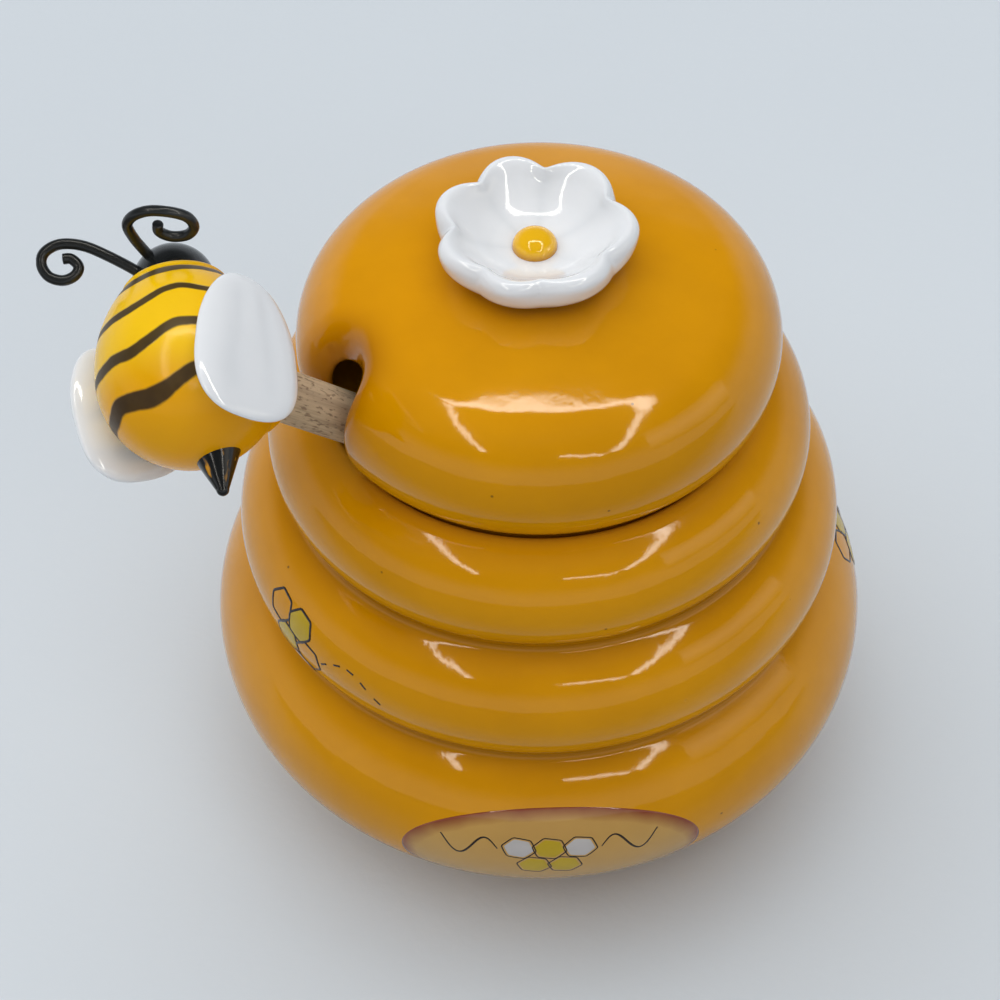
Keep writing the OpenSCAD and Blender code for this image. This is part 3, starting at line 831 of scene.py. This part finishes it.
class HONEYPOT_OT_lid(bpy.types.Operator):
    """Builds the lid: an even mesh over the frame's lid, settled onto a surface with a rolled notch"""
    bl_idname = "honeypot.lid"
    bl_label = "Lid"

    def execute(self, context):
        s = context.scene.honey_pot
        distance = lid_distance(s.lid, s.pot.wall / MM)
        low, high = (np.array(v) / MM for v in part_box("lid"))
        margin = 0.7
        points, quads = netted(distance, low - margin, high + margin, NET_STEP)
        pairs = np.concatenate([quads[:, [k, (k + 1) % 4]] for k in range(4)])
        points = settled(points, distance, 3)
        for _ in range(4):
            points = settled(evened(points, pairs), distance, 3)
        points = np.clip(points, low + 0.01, high - 0.001)
        mesh = bpy.data.meshes.new("lid_glazed")
        mesh.from_pydata((points * MM).tolist(), [], quads.tolist())
        notch = distance(points)[1]
        r, z = np.hypot(points[:, 0], points[:, 1]), points[:, 2]
        # darker in the notch, in the hollow, on the lower edge and round the flower's foot: glaze that gathers there,
        # and painted shade
        inside = (r < 33.2) & (z < 107) & (np.hypot(r, z + 5.7) < 114)
        pool_and_shade = 0.95 * np.exp(-(np.maximum(notch, 0) / 3.2) ** 2) + 0.45 * inside
        low_edge = 0.5 * smooth(z, 90, 84) * (r > 30)
        from_flower = np.hypot(points[:, 0] - FLOWER_MIDDLE[0], points[:, 1] - FLOWER_MIDDLE[1])
        foot = 0.45 * np.exp(-np.abs(from_flower - 11.5) / 2.2) * (z > 108)
        finish_mesh(mesh, {"pool_and_shade": np.clip(pool_and_shade + low_edge + foot, 0, 1), "thin": 0 * z, "bare": 0 * z})
        place("lid_glazed", mesh, "lid", made("Amber glaze", amber_glaze, s.finish), "lid")
        return {"FINISHED"}


# Flower knob

PETAL_GAPS = np.array([-174, -126, -86, -34, 25, 83, 133, 186])


def petal_share(angle):
    """0 in a gap between two petals and 1 on a petal's middle line, as the root of a sine between the gaps."""
    a = (angle - PETAL_GAPS[0]) % 360 + PETAL_GAPS[0]
    k = np.clip(np.searchsorted(PETAL_GAPS, a, side="right") - 1, 0, 6)
    t = (a - PETAL_GAPS[k]) / (PETAL_GAPS[k + 1] - PETAL_GAPS[k])
    return ((np.sin(math.pi * t) ** 2 + 0.025) / 1.025) ** 0.42


class HONEYPOT_OT_flower(bpy.types.Operator):
    """Builds the seven-petalled cup on the lid, and glazes its yellow centre"""
    bl_idname = "honeypot.flower"
    bl_label = "Flower knob"

    def execute(self, context):
        s = context.scene.honey_pot
        radius, gap, foot, top = mm(s.flower, "radius", "gap", "foot", "top")
        dish = foot + 2.1
        # radius, height, share of the petal gaps that shows, dip of the rim at a gap
        steps = np.array([
            [9.6, foot + 0.01, 0.1, 0], [11.2, foot + 0.1, 0.2, 0], [12.1, foot + 0.8, 0.2, 0],
            [13.6, foot + 2.0, 0.25, 0], [radius - 0.6, foot + 3.4, 0.4, 0], [radius - 0.1, foot + 4.8, 0.6, 0.1],
            [radius, foot + 6.1, 0.85, 0.3], [radius - 0.6, top - 0.3, 0.9, 0.55],
            [radius - 1.5, top - 0.01, 0.8, 0.6], [radius - 2.6, top - 0.6, 0.55, 0.4],
            [radius - 4.3, top - 2.1, 0.22, 0.1], [8.8, dish + 1.5, 0.06, 0], [6.6, dish + 0.5, 0, 0],
            [4.6, dish + 0.02, 0, 0], [3.0, dish - 0.3, 0, 0]])
        line = along(steps, 96)
        angles = np.linspace(-174, 186, 308, endpoint=False)
        # the potter pressed the gaps on the front side less
        cut = (1 - petal_share(angles)) * (1 - 0.45 * np.clip(-np.sin(np.radians(angles)), 0, 1))
        r = line[:, 0:1] - gap * line[:, 2:3] * cut[None, :]
        z = line[:, 1:2] - line[:, 3:4] * cut[None, :]
        t = np.linspace(0, 1, len(line))[:, None]
        a = np.radians(angles)[None, :]
        rows = np.stack([r * np.cos(a) + FLOWER_MIDDLE[0], r * np.sin(a) + FLOWER_MIDDLE[1], z], -1)
        # painted bluish shade in the gaps between petals, down in the cup and round the foot under the petals
        pool_and_shade = np.clip(1.1 * cut[None, :] ** 2 * smooth(t, 0.2, 0.45) + 0.4 * smooth(t, 0.72, 1.0)
                       + 0.35 * smooth(t, 0.25, 0.02), 0, 1)
        mesh = grid_mesh("flower_glazed", [rows], {"pool_and_shade": [pool_and_shade]})
        place("flower_glazed", mesh, "lid", made("White glaze", white_glaze, s.finish), "knob_flower")
        rise = np.linspace(0, math.pi / 2, 24)
        bead = np.stack([3.4 * np.cos(rise) ** 0.8 + 0.01, dish - 0.25 + 2.6 * np.sin(rise)], 1)
        rows = turned(np.concatenate([[[2.6, dish - 0.45]], bead]), ring(96))
        rows = rows + np.array([*FLOWER_MIDDLE, 0])
        place("flower_centre_bead", grid_mesh("flower_centre_bead", [rows]), "lid",
              yellow_centre(s.finish), "knob_centre")
        return {"FINISHED"}


# Dipper and bee

def rotation(axis, angle):
    return np.array(Matrix.Rotation(angle, 3, axis))


# How steeply the stick rises, where it crosses the rim, and how far out along it the bee sits, in millimetres
RISE = math.radians(45.4)
CROSSING = (31.0, 0, 90.6)
BEE_ALONG = 35


def stick_frame(s):
    """Origin and axes of the dipper: the third axis runs out along the stick from the rim crossing."""
    turn = rotation("Z", s.lid.dipper_turn)
    axes = turn @ rotation("Y", math.radians(90) - RISE)
    return turn @ np.array(CROSSING), axes


def bee_frame(s):
    """Origin and axes of the bee: x to its right, y to its head, z out of its back."""
    origin, axes = stick_frame(s)
    return origin + BEE_ALONG * axes[:, 2], axes @ rotation("Z", s.bee.turn) @ rotation("Y", -s.bee.roll)


def in_world(points, origin, axes):
    return origin + points @ axes.T


class HONEYPOT_OT_dipper(bpy.types.Operator):
    """Gives the turned dipper its wood, with the grain along the stick"""
    bl_idname = "honeypot.dipper"
    bl_label = "Dipper"

    def execute(self, context):
        s = context.scene.honey_pot
        repaint("dipper", beech(s.finish, stick_frame(s)[1][:, 2]))
        return {"FINISHED"}


# Each stripe of the bee: angles round the body from the middle of the back towards its right, in degrees,
# the stripe's place along the body there, and its half width, in millimetres
STRIPES = (
    ((-180, -90, -40, -2, 20, 40, 70, 95, 120, 180),
     (10.5, 10.4, 10.2, 9.9, 9.6, 10.1, 10.2, 9.9, 10.4, 10.5), 0.85),
    ((-180, -90, -40, 2, 24, 36, 46, 60, 74, 100, 140, 180),
     (4.6, 4.2, 3.9, 3.5, 3.4, 4.1, 5.1, 5.6, 4.6, 4.0, 4.6, 4.6), 0.66),
    ((-180, -90, -40, -5, 9, 21, 36, 52, 66, 100, 140, 180),
     (-2.4, -1.6, -2.6, -3.2, -3.1, -3.7, -2.8, -1.0, -1.3, -2.6, -2.0, -2.4), 0.78),
    ((-180, -90, -50, -19, -4, 8, 22, 36, 48, 62, 100, 140, 180),
     (-8.6, -7.6, -8.4, -9.0, -8.6, -9.2, -9.9, -9.8, -8.9, -7.7, -8.4, -7.8, -8.6), 1.0),
)

# Each wing: its middle in the bee's frame, its flare and tilt in degrees, and its scales
WINGS = {
    "left": ((-13.9, -1.1, 3.2), -6, 16, (1, 0.88, 1.12)),
    "right": ((13.9, -5.4, 0.3), 1, -11, (1, 1, 1)),
}


class HONEYPOT_OT_bee_body(bpy.types.Operator):
    """Builds the bee's egg-shaped body with the clay drawn down round the stick, its stripes and its head"""
    bl_idname = "honeypot.bee_body"
    bl_label = "Bee body"

    def execute(self, context):
        s = context.scene.honey_pot
        radius, front = mm(s.bee, "body_radius", "body_front")
        fat = -2.5
        taper = 20.8
        front_r = math.sqrt(taper ** 2 - (front - 0.9) ** 2) - (taper - radius)
        back = arc([0, fat], radius, -90, 0, 70)
        fore = arc([radius - taper, fat], taper, 0, math.degrees(math.asin((front - 0.9) / taper)), 60)
        shoulder = arc([front_r - 0.75, fat + front - 0.9], 0.85, 10, 90, 12)
        flat = np.array([[front_r - 2, fat + front - 0.05], [0.3, fat + front - 0.05]])
        section = spaced(np.concatenate([back[1:], fore[1:], shoulder, flat]), 210)
        rows = turned(section, ring(224))
        # the section's height is the bee's y, and angle 0 is the middle of its back
        rows = np.stack([rows[..., 1], rows[..., 2], rows[..., 0]], -1)
        origin, axes = bee_frame(s)
        down = -axes.T @ stick_frame(s)[1][:, 2]
        away = unit(rows)
        lean = np.degrees(np.arccos(np.clip(away @ down, -1, 1)))
        rows = rows + away * (3.1 * smooth(lean, 44, 17))[..., None]
        x, y, z = rows[..., 0], rows[..., 1], rows[..., 2]
        angle = np.degrees(np.arctan2(x, z))
        stripe = np.full(angle.shape, 9.0)
        turns = np.arange(-180, 180)
        window = np.hanning(19) / np.hanning(19).sum()
        for angles, places, half in STRIPES:
            line = np.interp(turns, angles, places)
            line = np.convolve(np.r_[line[-9:], line, line[:9]], window, "valid")
            line = np.interp(angle, np.r_[turns, 180], np.r_[line, line[0]])
            thick = half * (1 + 0.15 * np.sin(np.radians(3 * angle + 40 * half)))
            stripe = np.minimum(stripe, np.abs(y - line) - thick)
        # the stripes end short of the clay at the stick
        stripe = np.where(lean < 40, 9.0, stripe)
        # painted shade: 1 on the belly, away from the back, and on the tail
        under = np.clip(smooth(z, 6, -8) * 0.95 + smooth(y - 0.5 * z, -7, -15) * 0.9, 0, 1)
        mesh = grid_mesh("bee_body_glazed", [in_world(rows, origin, axes)], {"stripe": [stripe], "under": [under]})
        place("bee_body_glazed", mesh, "dipper", bee_yellow(s.finish), "bee_body")
        repaint("bee_head", black_gloss(s.finish, "Black glaze", 0.12, 0.15))
        tail = in_world(np.array([[0, -15.5, -2.3]]), origin, axes)[0]
        repaint("bee_stinger", sting_black(s.finish, tail, -axes[:, 1]))
        return {"FINISHED"}


def wing_grid(length_mm, width, thickness):
    """Rings of a wing: a pillow whose outline is a blunt egg, half as thick as the wing in the middle and
    falling to nothing at the rim, with two shallow grooves along it."""
    u = np.concatenate([np.linspace(0.02, 0.9, 26), 1 - 0.1 * (1 - np.sin(np.linspace(0, math.pi / 2, 14)[1:]))])
    u = np.unique(np.round(u, 6))
    share = np.concatenate([u, u[-2::-1]])
    side = np.concatenate([-np.ones(len(u)), np.ones(len(u) - 1)])
    a = ring(144)[None, :]
    blunt = lambda v: np.sign(v) * np.abs(v) ** 0.82
    y = share[:, None] * length_mm / 2 * blunt(np.cos(a))
    across = share[:, None] * blunt(np.sin(a))
    z = across * width / 2 * (1 - 0.22 * np.cos(a)) * (1 - 0.09 * np.tanh(3 * np.sin(a)))
    lift = np.sqrt(np.maximum(1 - share ** 2.4, 0))[:, None]
    deep = 0.09
    grooves = 1 - deep * (np.exp(-((across - 0.22) / 0.2) ** 2) + np.exp(-((across + 0.4) / 0.16) ** 2)) \
        * smooth(1 - share[:, None], 0.05, 0.4)
    x = side[:, None] * thickness / 2 * lift * grooves
    # painted bluish shade in the two grooves
    pool_and_shade = np.clip((1 - grooves) / deep, 0, 1) * 0.4
    return np.stack([x, y, z], -1), pool_and_shade


class HONEYPOT_OT_bee_wings(bpy.types.Operator):
    """Builds both wings, each on its own place on the bee's side"""
    bl_idname = "honeypot.bee_wings"
    bl_label = "Bee wings"

    def execute(self, context):
        s = context.scene.honey_pot
        grid, pool_and_shade = wing_grid(*mm(s.bee, "wing_length", "wing_width", "wing_thickness"))
        origin, axes = bee_frame(s)
        for side, (at, flare, tilt, size) in WINGS.items():
            turn = rotation("Z", math.radians(flare)) @ rotation("X", math.radians(tilt))
            rows = in_world(in_world(grid * size, np.array(at), turn), origin, axes)
            mesh = grid_mesh(f"bee_wing_{side}_glazed", [rows], {"pool_and_shade": [pool_and_shade]})
            place(f"bee_wing_{side}_glazed", mesh, "dipper",
                  made("White glaze", white_glaze, s.finish), f"bee_wing_{side}")
        return {"FINISHED"}


ROUTES = {
    "left": ([[-0.3, 12, 2.9], [-0.4, 14.2, 5.5], [-1.5, 17, 10.1], [-2.4, 18.3, 12.9], [-3.7, 18.7, 15.4],
              [-5.3, 18.1, 16.9], [-6.4, 16.8, 17.1], [-6.8, 15.2, 16], [-6.1, 14.4, 14.3], [-4.9, 14.7, 13],
              [-4.1, 15.8, 12.6], [-4.1, 16.9, 13.6], [-4.7, 17, 14.7]], (0.71, -0.51, 0.48)),
    "right": ([[0.8, 12.5, 1.5], [1.3, 15, 3.3], [2.4, 16.1, 5.8], [3.8, 16.8, 8.1], [5.6, 17.2, 9.9],
               [7.8, 17.2, 10.1], [9.9, 16.9, 8.9], [11.5, 16.2, 6.6], [11.9, 15.7, 4.2], [10.7, 15.3, 2.5],
               [8.7, 15.3, 2.4], [7.1, 15.7, 3.9], [7.1, 16.1, 5.9], [8.5, 16.3, 6.8]], (0.01, -0.96, 0.27)),
}


class HONEYPOT_OT_bee_antennae(bpy.types.Operator):
    """Builds the two scrolled wire antennae on the head"""
    bl_idname = "honeypot.bee_antennae"
    bl_label = "Bee antennae"

    def execute(self, context):
        s = context.scene.honey_pot
        origin, axes = bee_frame(s)
        black = black_gloss(s.finish, "Black enamel", 0.22, 0.35)
        for side, (route, aim) in ROUTES.items():
            path = in_world(along(route, 200), origin, axes)
            t = np.linspace(0, 1, 200)
            radius = s.bee.wire_radius / MM * np.sqrt(np.clip(1 - ((t - 0.985) / 0.015).clip(0) ** 2, 0.03, 1))
            mesh = grid_mesh(f"bee_antenna_{side}_wire", [tube(path, radius, axes @ np.array(aim), 16)])
            place(f"bee_antenna_{side}_wire", mesh, "dipper", black, f"bee_antenna_{side}")
        return {"FINISHED"}


# Painted places

# Radius at which a step along the painted coils is turned from millimetres into degrees
ROUND = 50.0


def on_coil(coil, azimuth, elevation, lift):
    """Points on a coil's rounded side: azimuth is the angle round the pot and elevation the angle up the
    coil's own circle, in degrees. lift is the height above the glaze."""
    (c, r), a, e = coil, np.radians(azimuth), np.radians(elevation)
    z = c[1] + (r + lift) * np.sin(e)
    out = c[0] + r * np.cos(e)
    out = out * handmade(a, z) + lift * np.cos(e)
    return np.stack([out * np.cos(a), out * np.sin(a), z], -1)


def oval_label(coil, middle, half):
    """A thin oval skin on a coil: rings from its middle to its rim on top, and back underneath."""
    u = np.r_[np.linspace(0.02, 1, 60), np.linspace(1, 0.02, 12)]
    lift = np.r_[0.07 * np.sqrt(1 - np.linspace(0.02, 0.999, 60) ** 16), np.full(12, -0.3)]
    a = ring(160)[None, :]
    points = on_coil(coil, middle[0] + half[0] * u[:, None] * np.cos(a),
                     middle[1] + half[1] * u[:, None] * np.sin(a), lift[:, None])
    return points, np.broadcast_to(u[:, None], points.shape[:2]), u[:, None] * np.maximum(np.sin(a), 0)


def painted_line(coil, flat_path, half_width, closed=False):
    """A raised line of enamel: a flattened tube along a path of (azimuth, elevation) on a coil."""
    p = np.asarray(flat_path, float)
    if closed:
        p = np.concatenate([p, p[:2]])
    path = on_coil(coil, p[:, 0], p[:, 1], 0.0)
    above = unit(on_coil(coil, p[:, 0], p[:, 1], 1.0) - path)
    tangent = unit(np.gradient(path, axis=0))
    side = np.cross(above, tangent)
    a = ring(8)[None, :, None]
    return path[:, None] + half_width * np.cos(a) * side[:, None] + 0.09 * np.sin(a) * above[:, None]


def cell_outline(middle, size, coil_r):
    """A six-sided honeycomb cell with softened corners, as (azimuth, elevation) about a middle. size is in
    millimetres, and the two scales turn millimetres into degrees on the coil."""
    t = ring(48)
    corner = 0.12
    r = size * (math.cos(math.pi / 6) / np.cos((t + 0.2) % (math.pi / 3) - math.pi / 6)) ** (1 - corner)
    scale_a = math.degrees(1 / ROUND)
    scale_e = math.degrees(1 / coil_r)
    return np.stack([middle[0] + scale_a * r * np.cos(t), middle[1] + scale_e * r * np.sin(t)], 1)


def cell_fill(coil, outline, middle):
    """A drop of enamel that fills a cell, highest in its middle."""
    u = np.r_[np.linspace(0.05, 0.93, 14), [0.93]][:, None]
    flat = np.array(middle)[None, None] + u[..., None] * (outline - np.array(middle))[None]
    lift = np.r_[0.1 * np.sqrt(1 - np.linspace(0.05, 0.93, 14) ** 4), [-0.2]][:, None]
    return on_coil(coil, flat[..., 0], flat[..., 1], lift)


def dash(middle, turn, length_mm, coil_r):
    """A short straight stroke as (azimuth, elevation), turned by an angle in degrees."""
    t = np.linspace(-0.5, 0.5, 6) * length_mm
    a = math.radians(turn)
    return np.stack([middle[0] + math.degrees(1 / ROUND) * t * math.cos(a),
                     middle[1] + math.degrees(1 / coil_r) * t * math.sin(a)], 1)


class HONEYPOT_OT_painting(bpy.types.Operator):
    """Paints a plain oval label on the belly and a few honeycomb cells with a dashed line on each side"""
    bl_idname = "honeypot.painting"
    bl_label = "Painted places"

    def execute(self, context):
        s = context.scene.honey_pot
        coils = coil_middles(s.pot)
        rows, share, high = oval_label(coils[0], (-87.6, -5), (25.4, 42))
        mesh = grid_mesh("label_oval", [rows], {"share": [share], "high": [high]})
        place("label_oval", mesh, "pot", label_glaze(s.finish))
        lines, pale, golden = [], [], []
        belly_a, belly_e = math.degrees(1 / 57.0), math.degrees(1 / coils[0][1])
        for i, j in ((-1, 0), (0, 0), (1, 0), (-0.5, -0.87), (0.5, -0.87)):
            middle = (-88 + i * 5.0 * belly_a, 12 + j * 5.0 * belly_e)
            outline = cell_outline(middle, 2.55, coils[0][1])
            lines.append(painted_line(coils[0], outline, 0.22, closed=True))
            (pale if i in (-1, 1) else golden).append(cell_fill(coils[0], outline, middle))
        for side in (-1, 1):
            t = np.linspace(0, 1, 40)
            sweep = np.stack([-88 + side * (8.5 + 9.5 * t) * belly_a, 11 + 2.2 * np.sin(7 * t) * belly_e], 1)
            lines.append(painted_line(coils[0], sweep, 0.2 + 0.16 * np.sin(math.pi * t)[:, None, None]))
        cells = [(0, 0), (1, 0), (0.5, -0.87), (1.5, -0.87), (1, -1.74)]
        for coil, start in ((coils[1], (-146, 22)), (coils[0], (1, 34))):
            size = 3.0
            step_a, step_e = math.degrees(1 / ROUND), math.degrees(1 / coil[1])
            for k, (i, j) in enumerate(cells):
                middle = (start[0] + i * 1.8 * size * step_a, start[1] + j * 1.8 * size * step_e)
                outline = cell_outline(middle, size, coil[1])
                lines.append(painted_line(coil, outline, 0.24, closed=True))
                if k in (1, 2):
                    golden.append(cell_fill(coil, outline, middle))
                elif k == 4:
                    pale.append(cell_fill(coil, outline, middle))
            for k in range(5):
                middle = (start[0] + (12 + 2.7 * k) * step_a, start[1] + (2.2 * math.sin(k * 0.9) - 3) * step_e)
                lines.append(painted_line(coil, dash(middle, 40 * math.cos(k * 0.9), 1.4, coil[1]), 0.17))
        for name, grids, paint in (("painted_lines", lines, (0.025, 0.014, 0.010, 1)),
                                   ("painted_cells_golden", golden, (0.62, 0.42, 0.01, 1)),
                                   ("painted_cells_pale", pale, (0.62, 0.58, 0.56, 1))):
            place(name, grid_mesh(name, grids), "pot", enamel(name.replace("_", " "), paint))
        return {"FINISHED"}


# Stage

EYE = Vector((0, -0.219751, 0.316655))
SIGHT = Matrix(((0.9998147, -0.0024487, 0.0190932), (0.0141462, 0.7661518, -0.6425040),
                (-0.0130550, 0.6426550, 0.7660444)))


def soft_sun(name, way, strength, angle):
    """A wide soft lamp that lights the whole table evenly, and doesn't show in the glaze."""
    lamp = bpy.data.lights.new(name, "SUN")
    lamp.energy = strength
    lamp.angle = math.radians(angle)
    obj = bpy.data.objects.new(name, lamp)
    obj.rotation_euler = Vector(way).to_track_quat("Z", "Y").to_euler()
    obj.visible_glossy = False
    bpy.context.scene.collection.objects.link(obj)


LIGHT_REACH = 0.9
LIGHT_MIDDLE = (0, -0.03, 0.1)


def light_frame(name, runs):
    """Glowing strips that show in the glaze and light nothing. Each run is (directions, width, glow): the strip
    follows the directions as seen from the lid, at one distance, and glows most along its middle line."""
    verts, faces, glow_of, across, n = [], [], [], [], 24
    for directions, width, glow in runs:
        path = unit(along(directions, n)) * LIGHT_REACH
        side = unit(np.cross(path, np.gradient(path, axis=0)))
        first = len(verts)
        for share in (-1.0, -0.5, 0.0, 0.5, 1.0):
            verts += (path + share * width / 2 * side + np.array(LIGHT_MIDDLE)).tolist()
            across += [share] * n
            glow_of += [glow] * n
        i, j = np.arange(4)[:, None] * n, np.arange(n - 1)[None, :]
        faces += (np.stack([i + j, i + j + 1, i + j + n + 1, i + j + n], -1).reshape(-1, 4) + first).tolist()
    mesh = bpy.data.meshes.new(name)
    mesh.from_pydata(verts, [], faces)
    finish_mesh(mesh, {"across": np.array(across), "glow": np.array(glow_of)})
    m = bpy.data.materials.new(name)
    m.use_nodes = True
    w = Wiring(m.node_tree)
    m.node_tree.nodes.remove(m.node_tree.nodes["Principled BSDF"])
    fade = w.math("POWER", w.math("SUBTRACT", 1.0, w.math("ABSOLUTE", w.value("across"))), 0.6)
    lit = w.add("ShaderNodeEmission", {"Color": (1.0, 0.95, 0.86, 1),
                                       "Strength": w.times(fade, w.value("glow"))})
    w.put(m.node_tree.nodes["Material Output"].inputs["Surface"], lit.outputs[0])
    mesh.materials.append(m)
    obj = bpy.data.objects.new(name, mesh)
    bpy.context.scene.collection.objects.link(obj)
    obj.visible_camera = obj.visible_diffuse = obj.visible_shadow = False


def sheet(name, low, high, z, material):
    """A flat rectangle that faces up."""
    mesh = bpy.data.meshes.new(name)
    mesh.from_pydata([(low[0], low[1], z), (high[0], low[1], z), (high[0], high[1], z), (low[0], high[1], z)], [],
                     [(0, 1, 2, 3)])
    mesh.materials.append(material)
    return mesh


def dark_card():
    """Grey card, seen only in the glaze's reflections, where it keeps out the pale front of the table and stands in
    for the shade over it as a painted shade; it fades out at its back.
    """
    w = new_material("Dark card", 0.9)
    tone = w.noise(w.place(), 3.0, 2.0)
    w.feed("Base Color", w.mix(tone, (0.10, 0.10, 0.095, 1), (0.17, 0.165, 0.15, 1)))
    back = w.axis(w.place(), "Y")
    w.feed("Alpha", w.span(back, -0.15, 0.015, 1.0, 0.0))
    return w.material


class HONEYPOT_OT_stage(bpy.types.Operator):
    """Sets up the pale table, the soft lights and the camera"""
    bl_idname = "honeypot.stage"
    bl_label = "Stage"

    def execute(self, context):
        s = context.scene.honey_pot
        scene = context.scene
        table = bpy.data.objects.new("table_top", sheet("table_top", (-30, -30), (30, 30), 0, table_top(s.finish)))
        scene.collection.objects.link(table)
        soft_sun("Ceiling light", (-0.25, 0.25, 1.0), 2.5, 100)
        soft_sun("Front light", (0.35, -0.8, 0.9), 0.75, 60)
        card = bpy.data.objects.new("dark_card", sheet("dark_card", (-8, -30), (8, 0.02), 0.0006, dark_card()))
        scene.collection.objects.link(card)
        card.visible_camera = card.visible_diffuse = card.visible_shadow = False
        light_frame("light_frame", (
            (((-0.31, 0.17, 0.94), (-0.10, 0.25, 0.96), (0.17, 0.24, 0.96), (0.36, 0.13, 0.92), (0.47, -0.04, 0.88)),
             0.10, 14),
            (((0.47, -0.04, 0.88), (0.51, -0.27, 0.81), (0.53, -0.46, 0.71), (0.47, -0.66, 0.56)), 0.07, 12),
            (((0.43, -0.70, 0.56), (0.28, -0.72, 0.6), (0.12, -0.73, 0.61)), 0.06, 10),
            (((-0.32, 0.15, 0.94), (-0.39, -0.22, 0.89), (-0.39, -0.48, 0.78), (-0.34, -0.68, 0.62)), 0.05, 12),
            (((0.92, 0.05, 0.34), (0.85, -0.25, 0.42), (0.66, -0.52, 0.48)), 0.42, 1.3)))
        world = bpy.data.worlds.new("Studio")
        world.use_nodes = True
        w = Wiring(world.node_tree)
        sky = world.node_tree.nodes["Background"]
        sky.inputs["Color"].default_value = (0.86, 0.92, 1.0, 1)
        rays = w.add("ShaderNodeLightPath").outputs
        seen = w.math("ADD", rays["Is Camera Ray"], rays["Is Glossy Ray"])
        seen = w.math("ADD", seen, rays["Is Transmission Ray"], clamp=True)
        # pale near the horizon for rays that see the backdrop, and dim overhead
        way = w.add("ShaderNodeTexCoord").outputs["Generated"]
        low = w.span(w.axis(way, "Z"), 0.2, 0.55, 0.55, 0.0)
        w.put(sky.inputs["Strength"], w.math("ADD", w.times(seen, low), 0.09))
        scene.world = world
        camera = bpy.data.objects.new("Camera", bpy.data.cameras.new("Camera"))
        camera.data.lens = 72
        camera.data.sensor_width = 36
        camera.data.clip_start = 0.01
        camera.matrix_world = Matrix.Translation(EYE) @ SIGHT.to_4x4()
        scene.collection.objects.link(camera)
        scene.camera = camera
        scene.view_settings.view_transform = "Standard"
        return {"FINISHED"}


class HONEYPOT_PT_panel(bpy.types.Panel):
    bl_idname = "HONEYPOT_PT_panel"
    bl_label = "Honey pot"
    bl_space_type = "VIEW_3D"
    bl_region_type = "UI"
    bl_category = "Honey pot"

    def draw(self, context):
        s = context.scene.honey_pot
        for operator in OPERATORS:
            self.layout.operator(operator.bl_idname)
        for name in ("pot", "lid", "flower", "bee", "finish"):
            box = self.layout.box()
            box.label(text=name.capitalize())
            part = getattr(s, name)
            for key in part.bl_rna.properties.keys():
                if key not in ("rna_type", "name"):
                    box.prop(part, key)
        self.layout.prop(s, "around")


OPERATORS = (HONEYPOT_OT_stage, HONEYPOT_OT_pot, HONEYPOT_OT_lid, HONEYPOT_OT_flower, HONEYPOT_OT_dipper,
             HONEYPOT_OT_bee_body, HONEYPOT_OT_bee_wings, HONEYPOT_OT_bee_antennae, HONEYPOT_OT_painting)
CLASSES = (PotShape, LidShape, FlowerShape, BeeShape, Finishes, HoneyPot, *OPERATORS, HONEYPOT_PT_panel)


def register():
    for c in CLASSES:
        bpy.utils.register_class(c)
    bpy.types.Scene.honey_pot = PointerProperty(type=HoneyPot)


def unregister():
    del bpy.types.Scene.honey_pot
    for c in reversed(CLASSES):
        bpy.utils.unregister_class(c)


def main():
    """Builds everything in order."""
    register()
    for operator in OPERATORS:
        family, name = operator.bl_idname.split(".")
        getattr(getattr(bpy.ops, family), name)()


if __name__ == "__main__":
    main()
